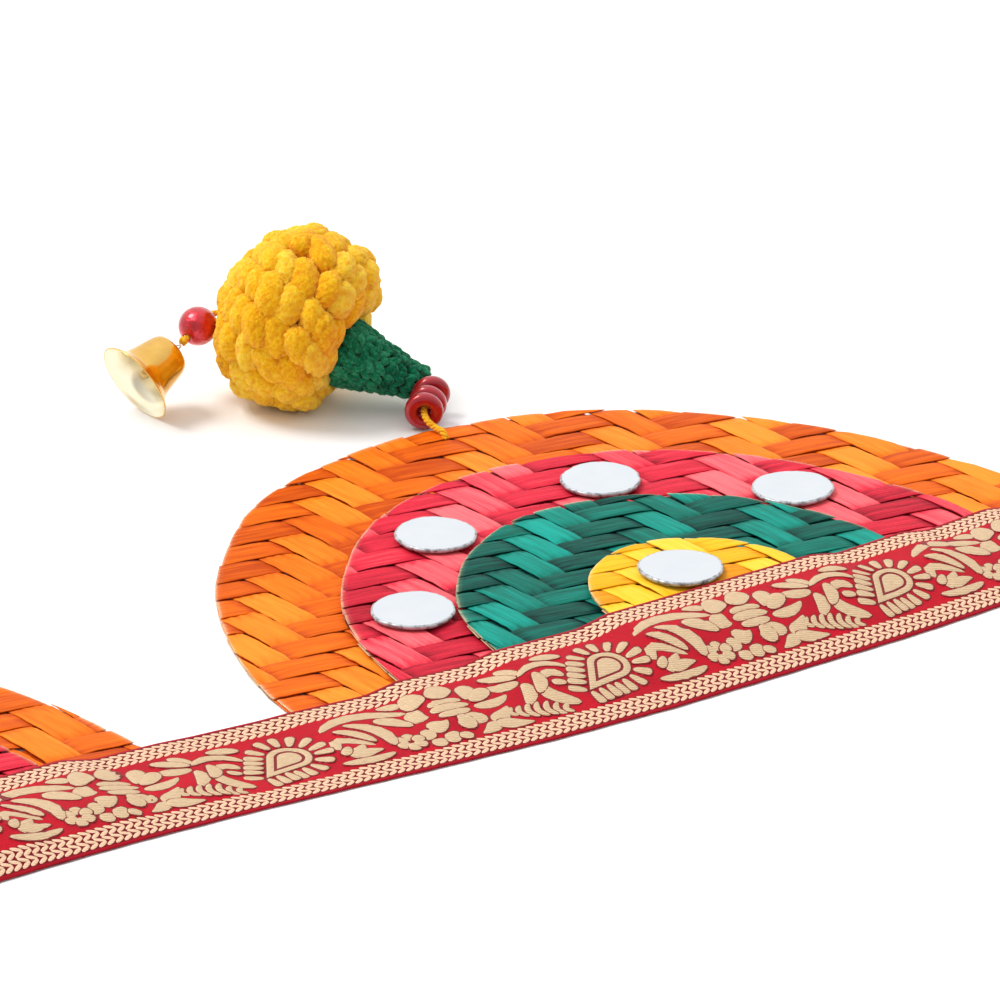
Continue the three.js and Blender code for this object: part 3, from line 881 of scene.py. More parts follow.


# One repeat of the vine, charted. Columns: start, middle and end of the stroke's line as s and t in mm,
# its width, how blunt it is, and its taper; s runs along the ribbon from the drop motif's middle, and t across
# it from the middle of the field.
VINE = np.array([
    # arching leaves right of the drop
    (12.2, 6.4, 22.5, 10.6, 35.2, 5.2, 3.0, 2.6, 0.15),
    (30.6, 11.4, 33.4, 10.8, 36.2, 9.0, 2.5, 2.2, 0.30),
    (26.2, 5.4, 30.0, 3.4, 33.4, -0.8, 3.6, 2.2, -0.10),
    (18.6, 7.0, 24.4, 1.4, 24.4, -7.4, 3.3, 2.2, 0.20),
    (14.6, 4.8, 18.6, 1.8, 21.2, -4.2, 2.5, 2.2, 0.10),
    # hook and its three-pointed bud
    (11.6, -3.8, 13.8, 0.4, 20.4, -5.2, 2.6, 2.6, -0.10),
    (12.4, -8.4, 15.0, -6.6, 17.8, -4.0, 3.2, 1.8, -0.40),
    (13.2, -8.4, 17.0, -7.6, 21.0, -7.8, 2.8, 1.8, -0.50),
    (11.0, -6.6, 12.2, -5.6, 13.8, -3.8, 2.2, 2.0, 0.00),
    (8.6, -9.8, 15.2, -11.4, 22.6, -10.4, 2.3, 2.0, 0.00),
    # bunch: ribbed bud
    (40.4, 3.6, 44.8, 4.6, 49.2, 3.2, 2.3, 3.0, -0.10),
    (39.6, 1.2, 44.4, 1.7, 49.8, 0.7, 2.5, 3.0, -0.10),
    (40.2, -1.3, 44.4, -1.5, 48.8, -1.5, 2.3, 3.0, 0.00),
    # bunch: petals round it
    (38.2, 5.2, 38.4, 8.2, 41.2, 11.4, 5.2, 3.4, 0.20),
    (43.6, 6.4, 45.8, 8.8, 49.0, 11.6, 5.0, 3.4, 0.20),
    (38.2, 3.4, 36.2, 2.4, 34.9, -0.4, 4.9, 3.0, 0.10),
    (38.4, -2.4, 38.2, -4.2, 39.6, -6.4, 4.8, 3.2, 0.10),
    (50.2, 2.8, 52.4, 5.8, 52.8, 9.8, 3.9, 2.6, 0.25),
    (50.8, 1.8, 54.2, 3.2, 57.0, 6.2, 3.6, 2.6, 0.25),
    (44.0, -3.4, 45.0, -5.8, 43.6, -8.8, 3.7, 2.6, 0.25),
    (45.0, -3.4, 47.6, -4.8, 49.6, -7.6, 3.7, 2.6, 0.25),
    (35.2, -4.6, 34.0, -6.4, 33.8, -8.6, 3.3, 3.4, 0.00),
    (35.4, -9.2, 34.8, -10.4, 33.6, -12.0, 3.2, 3.4, 0.00),
    (39.0, -8.2, 38.6, -10.0, 37.4, -12.2, 3.2, 3.4, 0.00),
    (42.4, -10.0, 41.8, -11.0, 41.0, -12.2, 2.8, 3.4, 0.00),
    # stem and the three-pointed leaf below it
    (50.4, -0.6, 55.6, -1.2, 60.6, 1.0, 2.9, 1.6, -0.30),
    (51.2, -8.6, 54.2, -7.0, 57.8, -3.8, 3.6, 1.6, -0.50),
    (51.6, -8.6, 49.4, -10.6, 46.0, -11.8, 2.9, 1.6, -0.50),
    (51.4, -9.0, 55.4, -10.8, 60.4, -11.8, 3.2, 1.6, -0.50),
    # three leaves and the stem back to the next drop
    (66.0, 4.8, 62.4, 7.8, 58.2, 10.2, 2.7, 2.0, 0.10),
    (65.6, 3.4, 61.4, 3.9, 57.4, 5.4, 3.2, 2.0, 0.10),
    (67.6, 5.8, 66.0, 8.4, 63.4, 11.2, 2.6, 2.0, 0.10),
    (66.6, 5.0, 74.0, 8.0, 79.6, 3.4, 2.3, 2.2, 0.00),
    (73.6, 10.6, 77.4, 10.2, 81.4, 8.6, 2.6, 1.7, 0.20),
    (70.2, 4.2, 70.2, 0.6, 67.4, -3.4, 3.0, 2.0, 0.00),
    (65.6, 2.2, 65.8, -1.6, 62.6, -5.6, 3.1, 1.9, 0.00),
    # curl before the next drop
    (77.0, 0.4, 74.4, 3.0, 71.4, 1.4, 2.5, 2.6, 0.00),
    (71.0, 1.6, 69.4, -4.4, 75.2, -10.0, 3.3, 2.2, 0.30),
    (76.0, -2.4, 74.0, -1.4, 72.6, -1.0, 2.0, 2.4, 0.00),
])
DROP = {"radius": 4.5, "length": 10.4, "tip": math.radians(214), "ring": 1.7, "gap": 0.75}
PETALS = {"count": 19, "width": 2.1, "reach": 4.8}
SMALL_FLOWER = {"s": 28.6, "t": -7.6, "petals": 6, "inner": 0.7, "outer": 4.0, "width": 2.7}
RIBBED_LEAF = {"s": (57.4, 70.6), "t": (-6.4, -10.8), "bars": 7, "length": 5.6, "width": 1.6}
VINE_SPREAD = 1.16  # widens every stroke of the chart alike
FIELD_HALF = 12.2  # half the width of the field between the borders, in mm


def drop_reach(turn, offset):
    """The drop's outline moved outwards by offset: an arc, and two straight sides that meet in a point.

    With a the angle whose cosine is radius over length, and b the angle from the tip, the reach from the
    middle is (radius + offset) / cos(max(0, a - b)).
    """
    from_tip = abs((turn - DROP["tip"] + np.pi) % (2 * np.pi) - np.pi)
    lean = np.clip(math.acos(DROP["radius"] / DROP["length"]) - from_tip, 0, None)
    return (DROP["radius"] + offset) / np.cos(lean)


def radial_strokes(centre, starts, ends, width, blunt, taper):
    """Petals that point out from a centre, one row each in the columns of VINE."""
    middle = (starts + ends) / 2
    rest = np.broadcast_to([width, blunt, taper], (len(starts), 3))
    return np.concatenate([centre + starts, centre + middle, centre + ends, rest], 1)


def vine_strokes():
    """Every stroke of one repeat: the chart, the petals round the drop, the small flower, the ribs."""
    fine = DROP["tip"] + np.linspace(0, 2 * np.pi, 400)
    way = np.stack([np.cos(fine), np.sin(fine)], 1)
    outline = way * drop_reach(fine, DROP["ring"] / 2 + OUTLINE + 0.2)[:, None]
    run = np.concatenate([[0], np.cumsum(np.linalg.norm(np.diff(outline, axis=0), axis=1))])
    marks = run[-1] * (np.arange(PETALS["count"]) + 0.5) / PETALS["count"]
    starts = np.stack([np.interp(marks, run, outline[:, i]) for i in range(2)], 1)
    turned = np.stack([np.interp(marks, run, part) for part in np.gradient(outline, run, axis=0).T], 1)
    ends = starts + PETALS["reach"] * unit(np.stack([turned[:, 1], -turned[:, 0]], 1))
    ends[:, 1] = np.clip(ends[:, 1], -FIELD_HALF, FIELD_HALF)
    petals = radial_strokes(np.zeros(2), starts, ends, PETALS["width"], 4.5, 0.3)
    turns = np.linspace(0, 2 * np.pi, SMALL_FLOWER["petals"], endpoint=False) + 0.3
    way = np.stack([np.cos(turns), np.sin(turns)], 1)
    middle = np.array([SMALL_FLOWER["s"], SMALL_FLOWER["t"]])
    small = radial_strokes(
        middle, way * SMALL_FLOWER["inner"], way * SMALL_FLOWER["outer"], SMALL_FLOWER["width"], 2.6, 0.2
    )
    share = np.linspace(0, 1, RIBBED_LEAF["bars"])
    s, t = np.interp(share, (0, 1), RIBBED_LEAF["s"]), np.interp(share, (0, 1), RIBBED_LEAF["t"])
    half = RIBBED_LEAF["length"] / 2 * np.sin(np.pi * (0.2 + 0.62 * share))
    rest = np.broadcast_to([RIBBED_LEAF["width"], 3.0, 0.0], (len(s), 3))
    ribs = np.concatenate([np.stack([s + 1.1, t - half, s - 0.5, t, s + 1.1, t + half], 1), rest], 1)
    leaves = VINE.copy()
    leaves[:, 6] *= VINE_SPREAD
    return np.concatenate([leaves, small, ribs, petals])


def drop_skins(surface, repeats, lift, relief, middle):
    """Each drop: a dark plate of painted shade round it, the gold ring and the filled drop inside it, as bands along
    one outline.

    Across a band its height is relief times one minus a power of the share from its middle, so it is crowned.
    """
    turn = DROP["tip"] + np.linspace(0, 2 * np.pi, 49)[:, None]
    share = np.array([0.0, 0.15, 0.5, 0.85, 1.0])[None]
    heart, ring = 0.02 - DROP["radius"], DROP["ring"] / 2
    bands = (
        # The dark plate under the drop, edge 1: painted shade round the ring.
        (heart, ring + OUTLINE, -0.04 * (share > 0.99), 1.0),
        (-ring, ring, 0.03 + relief * (1 - (2 * share - 1) ** 4), 0.0),
        (heart, -ring - DROP["gap"], 0.03 + relief * (1 - share**6), 0.0),
    )
    skins = []
    for place in repeats:
        if surface.ends[0] + 10 < place < surface.ends[1] - 10:
            for inner, outer, height, edge in bands:
                reach = drop_reach(turn, inner + (outer - inner) * share)
                s, t = place + reach * np.cos(turn), middle + reach * np.sin(turn)
                points = surface.at(s, t, lift + 0.1 + height).reshape(-1, 3)
                uv = np.stack([s, t], -1).reshape(-1, 2)
                skins.append(shell(points, [(grid_quads(*s.shape), 0)], uv, 0.2, edge))
    return skins


# Rows of small slanted stitches along both edges. Columns: distance from the near edge, in mm, and slant.
BORDER_ROWS = ((2.0, 1), (3.6, -1), (5.3, 1), (6.9, -1), (34.4, 1), (36.0, -1), (37.7, 1), (39.3, -1))
STITCH = {"pitch": 2.3, "length": 2.8, "rise": 1.5, "width": 1.18}


def border_stitches(surface, lift, relief):
    """Plaited edges: leaf-shaped stitches in rows that lean towards each other."""
    count = int((surface.ends[1] - surface.ends[0]) / STITCH["pitch"])
    s = surface.ends[0] + STITCH["pitch"] * (np.arange(count) + 0.5)
    rows = []
    for distance, slant in BORDER_ROWS:
        half, rise = STITCH["length"] / 2, slant * STITCH["rise"] / 2
        ones = np.ones(count)
        row = [s - half, (distance - rise) * ones, s, distance * ones, s + half, (distance + rise) * ones]
        rows.append(np.stack([*row, STITCH["width"] * ones, 2.2 * ones, 0 * ones], 1))
    chart = np.concatenate(rows)
    return strokes(surface, chart, np.zeros(1), lift - 0.05, lift, relief, 5, STITCH_ACROSS, tone=1.0)


def ribbon_finish(ribbon, width):
    """Red satin ground: fine weft lines, and darker selvedges by the distance across."""
    material, tree, shader = new_finish("ribbon_ground", Roughness=0.6, Specular_IOR_Level=0.12)
    uv = strand_uv(tree)
    across = add_node(tree, "ShaderNodeSeparateXYZ", {0: uv}).outputs[1]
    ramp = tree.nodes.new("ShaderNodeValToRGB")
    border = BORDER_ROWS[3][0] + 0.8
    marks = [(0.8, 0.3), (1.0, 1), (border - 0.2, 1), (border, 0)]
    marks += [(width - place, share) for place, share in marks[::-1]]
    tree.links.new(
        add_node(tree, "ShaderNodeMath", {0: across, 1: UV_TILE / width}, operation="MULTIPLY").outputs[0],
        ramp.inputs[0],
    )
    while len(ramp.color_ramp.elements) < len(marks):
        ramp.color_ramp.elements.new(0.5)
    for element, (place, share) in zip(ramp.color_ramp.elements, marks):
        element.position = place / width
        element.color = (share, share, share, 1)
    weft = set_group(tree, "Streaks", {"Vector": uv, "Along": 4.0, "Across": 40.0, "Detail": 2.0})
    cloud = set_group(tree, "Streaks", {"Vector": uv, "Along": 0.6, "Across": 0.8, "Detail": 3.0})
    ground = mix_colour(tree, cloud.outputs[0], linear(np.array(ribbon.ground) * 0.86), linear(ribbon.ground))
    edged = mix_colour(tree, ramp.outputs[0], ground, linear(ribbon.selvedge))
    darker = mix_colour(tree, weft.outputs[0], edged, linear(ribbon.selvedge))
    mixed = tree.nodes.new("ShaderNodeMix")
    mixed.data_type = "RGBA"
    mixed.inputs[0].default_value = 0.3
    tree.links.new(edged, mixed.inputs[6])
    tree.links.new(darker, mixed.inputs[7])
    tree.links.new(mixed.outputs[2], shader.inputs["Base Color"])
    twill = add_node(
        tree,
        "ShaderNodeTexWave",
        {"Vector": uv, "Scale": 7.5, "Distortion": 0.4},
        wave_type="BANDS",
        bands_direction="DIAGONAL",
    )
    bumped(tree, shader, twill.outputs["Fac"], 0.35, 0.08)
    return material


def gold_finish(ribbon):
    """Dull gold weft: slanted thread lines, streaks of painted highlight, a pinker tint on the border stitches, and
    dark red painted shade at the rims.
    """
    material, tree, shader = new_finish("gold_weft", Metallic=0.2, Roughness=0.45, Specular_IOR_Level=0.3)
    uv = strand_uv(tree)
    turned = add_node(tree, "ShaderNodeMapping", {"Vector": uv, "Rotation": (0, 0, math.radians(24))})
    threads = add_node(
        tree,
        "ShaderNodeTexWave",
        {"Vector": turned.outputs[0], "Scale": 4.6, "Distortion": 2.2, "Detail": 2.0, "Detail Scale": 3.0},
        wave_type="BANDS",
        bands_direction="Y",
    )
    streak = set_group(tree, "Streaks", {"Vector": turned.outputs[0], "Along": 6.0, "Across": 30.0, "Detail": 3.0})
    gold = linear(ribbon.gold)
    shade = linear(np.array(ribbon.gold) * (0.78, 0.7, 0.6))
    lined = mix_colour(tree, threads.outputs["Fac"], shade, gold)
    # Painted highlight: lighter gold in streaks, mixed in at 0.45.
    light = mix_colour(tree, streak.outputs[0], lined, linear((238, 216, 182)))
    soft = tree.nodes.new("ShaderNodeMix")
    soft.data_type = "RGBA"
    soft.inputs[0].default_value = 0.45
    tree.links.new(lined, soft.inputs[6])
    tree.links.new(light, soft.inputs[7])
    # Painted shade: where the edge value is high, on the dark plates and drop outlines, the gold turns dark red.
    rim = attribute(tree, "edge")
    warm = mix_colour(tree, attribute(tree, "tone"), soft.outputs[2], linear((236, 196, 162)))
    tree.links.new(
        mix_colour(tree, rim, warm, linear((128, 14, 22))), shader.inputs["Base Color"]
    )
    bumped(tree, shader, threads.outputs["Fac"], 0.7, 0.16)
    return material


# The pendants, in the frame of a half-moon that falls to the left; the right-hand one is turned over

FLOWER_CENTRE = np.array([-7.7, 180.9, 24.6])
FLOWER_AXIS = np.array([-0.55, 0.77, 0.33])
FLOWER_FRONT = 20.5
FLOWER_BACK = 16.0
CONE_TIP = np.array([17.6, 156.9, 6.9])
CONE_BASE = np.array([0.9, 169.0, 16.0])
CONE_RADII = (4.0, 10.0)
BEAD_RADIUS = 5.5
PIVOT_HEIGHT = 11.65


def pendant_side(place):
    """1 where the pendant falls to the left of its half-moon, and -1 where it falls to the right."""
    return 1.0 if box_middle(f"flower_{place}")[0] < panel_origin(place)[0] else -1.0


def placer(place):
    """A function from a half-moon's own frame to the hanging's, mirrored where the pendant is."""
    origin, side = panel_origin(place), pendant_side(place)
    flip = np.array([side, 1.0, 1.0])
    return lambda points: np.asarray(points) * flip + origin


def flipped(skins, side):
    """Turns faces round where mirroring has turned a shape inside out."""
    if side > 0:
        return skins
    for skin in skins:
        skin["faces"] = [(faces[:, ::-1], number) for faces, number in skin["faces"]]
    return skins


def lobes(centres, longs, squares, ups, sizes, random, grid=(14, 22), crumb=0.9, grain=2.7):
    """Puffed stitches, all at once: ovals with rounded ends whose skin is crumpled like loose wool.

    A point's angle down the long way gives its place and girth. The skin rises by a root of the product of
    three sines along random directions, grain mm long, so it swells in small pillows parted by creases.
    """
    rows, sides = grid
    count = len(centres)
    polar = np.linspace(0, np.pi, rows + 2)[1:-1][None, :, None]
    turn = np.linspace(0, 2 * np.pi, sides, endpoint=False)[None, None, :]
    girth = np.sin(polar) ** 0.75
    long, wide, tall = (sizes[:, i][:, None, None] for i in range(3))
    local = np.stack(
        np.broadcast_arrays(long * np.cos(polar), wide * girth * np.cos(turn), tall * girth * np.sin(turn)), -1
    )
    ways = unit(random.normal(0, 1, (count, 3, 3))) * 2 * np.pi / (grain * random.uniform(0.8, 1.3, (count, 3, 1)))
    starts = random.uniform(0, 6, (count, 3))
    waves = np.sin(np.einsum("nrsk,nwk->nrsw", local, ways) + starts[:, None, None])
    pillow = abs(waves.prod(-1)) ** 0.3
    local = local + unit(local) * (crumb * (pillow - 0.6))[..., None]
    frames = np.stack([longs, squares, ups], 1)
    body = centres[:, None, None] + np.einsum("nrsk,nkj->nrsj", local, frames)
    body = body.reshape(count, rows * sides, 3)
    tips = centres[:, None] + np.array([1.0, -1.0])[None, :, None] * sizes[:, 0][:, None, None] * longs[:, None]
    points = np.concatenate([body, tips], 1).reshape(-1, 3)
    each = rows * sides + 2
    around, after = np.arange(sides), (np.arange(sides) + 1) % sides
    first, last = rows * sides, rows * sides + 1
    top = np.stack([np.full(sides, first), around, after], 1)
    bottom = np.stack([np.full(sides, last), (rows - 1) * sides + after, (rows - 1) * sides + around], 1)
    quads = grid_quads(rows, sides, wrap=True)[:, ::-1]
    faces = [(repeated(part, count, each), 0) for part in (quads, top, bottom)]
    run = np.broadcast_to(long * (1 - np.cos(polar)), (count, rows, sides))
    wound = np.broadcast_to(turn * wide + 9 * starts[:, :1, None], (count, rows, sides))
    uv = np.stack([run, wound], -1).reshape(count, -1, 2)
    uv = np.concatenate([uv, uv[:, [0, -1]]], 1).reshape(-1, 2)
    # Painted shade, carried in the edge value: darker in the creases between the pillows and on the side of each stitch
    # that faces down into the work.
    low = np.clip(0.35 - np.sin(turn) * girth, 0, 1)
    painted_hollow_shade = np.clip(1.1 * (0.66 - pillow) + 0.5 * low, 0, 1).reshape(count, -1)
    painted_hollow_shade = np.concatenate([painted_hollow_shade, np.full((count, 2), 0.3)], 1).ravel()
    tone = np.repeat(np.clip(random.normal(0.55, 0.12, count), 0, 1), each)
    return shell(points, faces, uv, tone, painted_hollow_shade)


def fuzz(points, normals, length, count, random):
    """Loose fibres: narrow two-step slips that leave the surface and bend over."""
    pick = random.randint(0, len(points), count)
    root, out = points[pick], normals[pick]
    lean = unit(out + random.normal(0, 0.55, (count, 3)))
    bend = unit(lean + random.normal(0, 0.6, (count, 3)))
    reach = length * random.uniform(0.4, 1.0, (count, 1))
    side = unit(np.cross(lean, random.normal(0, 1, (count, 3)))) * 0.035
    middle = root + lean * reach * 0.5
    tip = middle + bend * reach * 0.5
    stack = np.stack([root - side, root + side, middle - side, middle + side, tip - side * 0.3, tip + side * 0.3], 1)
    quads = np.array([[0, 1, 3, 2], [2, 3, 5, 4]])
    return shell(stack.reshape(-1, 3), [(repeated(quads, count, 6), 0)], None, 0.75, 0.0)


def flower_profile(share):
    """Radius and height along the flower's own outline, from 0 at its face to 1 at its flat back."""
    polar = share * np.pi
    rim = np.cos(polar)
    height = np.where(rim > 0, FLOWER_FRONT * rim, -FLOWER_BACK * (1 - (1 - np.clip(-rim, 0, 1)) ** 2.2))
    return np.sin(polar), height


ROUNDS = np.array([0.04, 0.135, 0.23, 0.325, 0.42, 0.515, 0.61, 0.7, 0.79])


def crocheted_flower(place, pendant, random):
    """The marigold: rounds of puffed stitches laid like rope round a ball, slanted, each on its neighbour."""
    at, side = placer(place), pendant_side(place)
    radius = pendant.flower_radius / MM
    across, over, axis = axes_along(FLOWER_AXIS)
    bead = (box_middle(f"round_bead_{place}") - panel_origin(place)) * (side, 1, 1)
    puff = pendant.puff / MM
    centres, longs, squares, ups, sizes = [], [], [], [], []
    for number, share in enumerate(ROUNDS):
        girth, height = flower_profile(np.array([share]))
        ahead_girth, ahead_height = flower_profile(np.array([share + 0.01]))
        reach = radius * 0.86 * girth[0]
        count = max(5, int(round(2 * np.pi * reach / (puff * 0.84))))
        turn = 2 * np.pi * (np.arange(count) + 0.5 * number + random.uniform(-0.14, 0.14, count)) / count
        spoke = np.cos(turn)[:, None] * across + np.sin(turn)[:, None] * over
        tangent = -np.sin(turn)[:, None] * across + np.cos(turn)[:, None] * over
        down = unit((ahead_girth[0] - girth[0]) * radius * spoke + (ahead_height[0] - height[0]) * axis)
        up = unit(np.cross(tangent, down))
        up *= np.sign((up * spoke).sum(1) + (up @ axis) * height[0] / radius)[:, None]
        slant = math.radians(27) + random.normal(0, 0.2, (count, 1))
        long = np.cos(slant) * tangent + np.sin(slant) * down
        depth = random.uniform(-0.8, 0.8, (count, 1))
        centre = FLOWER_CENTRE + reach * spoke + 0.86 * height[0] * axis + depth * up
        size = np.array([puff * 0.6, 4.3, 4.3]) * random.uniform(0.84, 1.12, (count, 3))
        for store, value in zip((centres, longs, squares, ups, sizes), (centre, long, np.cross(up, long), up, size)):
            store.append(value)
    centres, longs, squares, ups, sizes = (np.concatenate(s) for s in (centres, longs, squares, ups, sizes))
    puffs = lobes(centres, longs, squares, ups, sizes, random)
    heart = lobes(
        (FLOWER_CENTRE + axis)[None], across[None], -over[None], axis[None],
        np.array([[radius * 0.8, radius * 0.8, 14.5]]), random, grid=(24, 40),
    )
    # The heart shows only between the puffs, so it gets the darkest tone: painted shade between the stitches.
    heart["tone"] = np.full(len(heart["points"]), 0.0)
    skins = [puffs, heart]
    outward = unit(puffs["points"] - FLOWER_CENTRE)
    skins.append(fuzz(puffs["points"], outward, 1.4, 3200, random))
    clear = BEAD_RADIUS + 0.35
    for skin in skins:
        off = skin["points"] - bead
        far = np.linalg.norm(off, axis=1, keepdims=True)
        skin["points"] = bead + off * np.maximum(1, clear / np.maximum(far, 1e-6))
        skin["points"][:, 2] = np.maximum(skin["points"][:, 2], 0.05)
        skin["points"] = at(skin["points"])
    return flipped(skins, side)


def cone_path(steps):
    """The cone's bent middle line: a quadratic curve from its tip to the flower's back."""
    axis = unit(FLOWER_AXIS)
    behind = (CONE_BASE - FLOWER_CENTRE) @ axis
    base = CONE_BASE + axis * (-(FLOWER_BACK - 0.6) - behind)
    control = base - 8 * axis
    t = np.linspace(0, 1, steps)[:, None]
    return (1 - t) ** 2 * CONE_TIP + 2 * t * (1 - t) * control + t**2 * base


def crocheted_cone(place, random):
    """The calyx: rounds of small leaning stitches in pairs, up a bent cone, on a plain core."""
    at, side = placer(place), pendant_side(place)
    path = cone_path(60)
    ahead = unit(np.gradient(path, axis=0))
    across = unit(np.cross(ahead, (0.0, 0.0, 1.0)))
    over = np.cross(across, ahead)
    share = np.linspace(0, 1, 60)
    radii = CONE_RADII[0] + (CONE_RADII[1] - CONE_RADII[0]) * share**0.9
    core = tube(path, radii * 0.9, sides=24)
    # The core shows only between the stitches, so it gets a dark tone: painted shade between the stitches.
    core["tone"] = np.full(len(core["points"]), 0.1)
    rounds = 9
    centres, longs, squares, ups, sizes = [], [], [], [], []
    for number in range(rounds):
        place_along = (number + 0.35) / rounds
        i = int(place_along * 59)
        count = int(2 * np.pi * radii[i] / 3.1)
        for lean in (-1, 1):
            turn = 2 * np.pi * (np.arange(count) + 0.5 * number + 0.23 * lean) / count
            turn += random.uniform(-0.05, 0.05, count)
            up = np.cos(turn)[:, None] * across[i] + np.sin(turn)[:, None] * over[i]
            tangent = -np.sin(turn)[:, None] * across[i] + np.cos(turn)[:, None] * over[i]
            slant = lean * math.radians(30) + random.normal(0, 0.12, (count, 1))
            long = unit(np.cos(slant) * ahead[i] - np.sin(slant) * tangent)
            jitter = random.uniform(-0.25, 0.25, (count, 1))
            centres.append(path[i] + (radii[i] * 0.95 + jitter) * up)
            longs.append(long)
            squares.append(np.cross(up, long))
            ups.append(up)
            sizes.append(np.array([2.1, 1.15, 1.1]) * random.uniform(0.88, 1.15, (count, 1)))
    stitches = lobes(
        *(np.concatenate(s) for s in (centres, longs, squares, ups, sizes)), random, grid=(7, 10), crumb=0.3, grain=1.8,
    )
    nearest = np.argmin(np.linalg.norm(stitches["points"][::7, None] - path[None, ::6], axis=2), axis=1)
    outward = unit(stitches["points"][::7] - path[::6][nearest])
    skins = [core, stitches, fuzz(stitches["points"][::7], outward, 1.1, 2400, random)]
    for skin in skins:
        skin["points"][:, 2] = np.maximum(skin["points"][:, 2], 0.05)
        skin["points"] = at(skin["points"])
    return flipped(skins, side)


def ring_bead(node, ahead):
    """A ring bead: an oval section turned round the thread, closed through its hole."""
    centre = box_middle(node)
    sides, around = 44, 24
    section = np.linspace(0, 2 * np.pi, around, endpoint=False)
    swell = 1.9 * np.sign(np.sin(section)) * abs(np.sin(section)) ** 0.85
    radius = 3.6 + 1.8 * np.cos(section)
    turn = np.linspace(0, 2 * np.pi, sides + 1)
    side, over, axis = axes_along(ahead)
    spoke = np.cos(turn)[:, None] * side + np.sin(turn)[:, None] * over
    points = centre + radius[None, :, None] * spoke[:, None] + swell[None, :, None] * axis
    closed = grid_quads(sides + 1, around, wrap=True)
    closed = np.where(closed >= sides * around, closed - sides * around, closed)
    return shell(points[:-1].reshape(-1, 3), [(closed, 0)])


def bell_axis(place):
    """The bell's own axis and mouth, from its clapper's hinge and the line of the clapper's rod."""
    joint = next(j for j in frame["joints"] if j["name"] == f"{place}_clapper_swing")
    pivot = np.array(joint["pos_m"]) / MM
    points = mesh_points(f"clapper_{place}")
    points = np.unique(np.round(points, 3), axis=0)
    _, _, ways = np.linalg.svd(points - points.mean(0))
    axis = ways[0] * np.sign(ways[0] @ (pivot - points.mean(0)))
    return axis, pivot - PIVOT_HEIGHT * axis


def smooth_profile(points, steps):
    return smooth_path(np.c_[np.asarray(points, float), np.zeros(len(points))], steps)[:, :2]


def bell_skins(place):
    """The bell: a thin flared cup, its wire loop above the crown, and the eye that holds the clapper."""
    axis, mouth = bell_axis(place)
    outside = smooth_profile(
        [(12.15, 0.0), (11.3, 0.85), (9.4, 2.3), (8.25, 4.2), (7.5, 7.0), (6.95, 10.0), (6.3, 12.8), (5.2, 14.4), (3.0, 14.95)],
        40,
    )
    wall = 0.45
    inside = outside[::-1] - np.array([wall, 0.0])
    inside[:, 1] = inside[:, 1] * (1 - wall / 15) - 0.0
    inside = inside[inside[:, 0] > 2.4]
    lip = np.array([(12.05, -0.12), (11.8, -0.1)])
    profile = np.concatenate([[(0, 14.5)], inside, lip[::-1], outside, [(0, 15.0)]])
    finish = np.concatenate([np.ones(len(inside)), np.zeros(2 + len(outside))]).astype(int)[: len(profile) - 3]
    cup = revolve(profile, mouth, axis, sides=72, finish=finish)
    side = axes_along(axis)[0]
    spots = np.array([(-0.85, 14.6), (-0.85, 16.2), (-0.6, 17.1), (0.0, 17.4), (0.6, 17.1), (0.85, 16.2), (0.85, 14.6)])
    low = np.array([(-0.85, 14.6), (-0.85, 13.2), (-0.55, 12.4), (0.0, 12.15), (0.55, 12.4), (0.85, 13.2), (0.85, 14.6)])
    wires = []
    for bow in (spots, low):
        path = smooth_path(mouth + bow[:, :1] * side + bow[:, 1:] * axis, 40)
        wire = tube(path, 0.33, sides=10)
        wire["faces"] = [(faces, 2) for faces, _ in wire["faces"]]
        wires.append(wire)
    return [cup, *wires]


def clapper_skins(place):
    """The clapper: a ball on a short rod with a closed top."""
    axis, mouth = bell_axis(place)
    ball, radius, rod, top = 4.3, 1.4, 0.42, 11.0
    turn = np.linspace(-np.pi / 2, np.pi / 2 - 0.32, 14)
    body = np.stack([radius * np.cos(turn), ball + radius * np.sin(turn)], 1)
    profile = np.concatenate([[(0, ball - radius)], body[1:], [(rod, ball + 1.6), (rod, top - 0.1), (rod / 2, top), (0, top)]])
    return [revolve(profile, mouth, axis, sides=20)]


def round_bead_skin(place):
    """The round bead: a ball with a small hole for the yarn, its hole's rim rounded."""
    centre = box_middle(f"round_bead_{place}")
    axis, mouth = bell_axis(place)
    ahead = unit(mouth + 17.2 * axis - centre)
    hole = 1.3
    start = math.asin(hole / BEAD_RADIUS)
    polar = np.linspace(start, np.pi - start, 30)
    outside = np.stack([BEAD_RADIUS * np.sin(polar), -BEAD_RADIUS * np.cos(polar)], 1)
    depth = 1.4
    profile = [(0, outside[0, 1] + depth), (hole * 0.9, outside[0, 1] + depth), *outside]
    profile += [(hole * 0.9, outside[-1, 1] - depth), (0, outside[-1, 1] - depth)]
    return revolve(profile, centre, ahead, sides=56), centre, ahead


def thread_skins(place):
    """The yarn from the mat's face over its edge and through the ring beads into the cone."""
    at, side = placer(place), pendant_side(place)
    origin = panel_origin(place)
    rings = [(box_middle(f"ring_bead_{i + 1}_{place}") - origin) * (side, 1, 1) for i in range(RINGS_EACH)]
    on_mat = 2.6
    points = [(9.3, 132.2, 0.8), (9.1, 134.0, on_mat), (8.8, 136.6, on_mat + 0.2), (8.1, 139.8, on_mat + 1.5)]
    points += [*rings, tuple(CONE_TIP + (0.3, -0.6, -0.2))]
    path = smooth_path(points, 90)
    return yarn(at(path), 0.95)


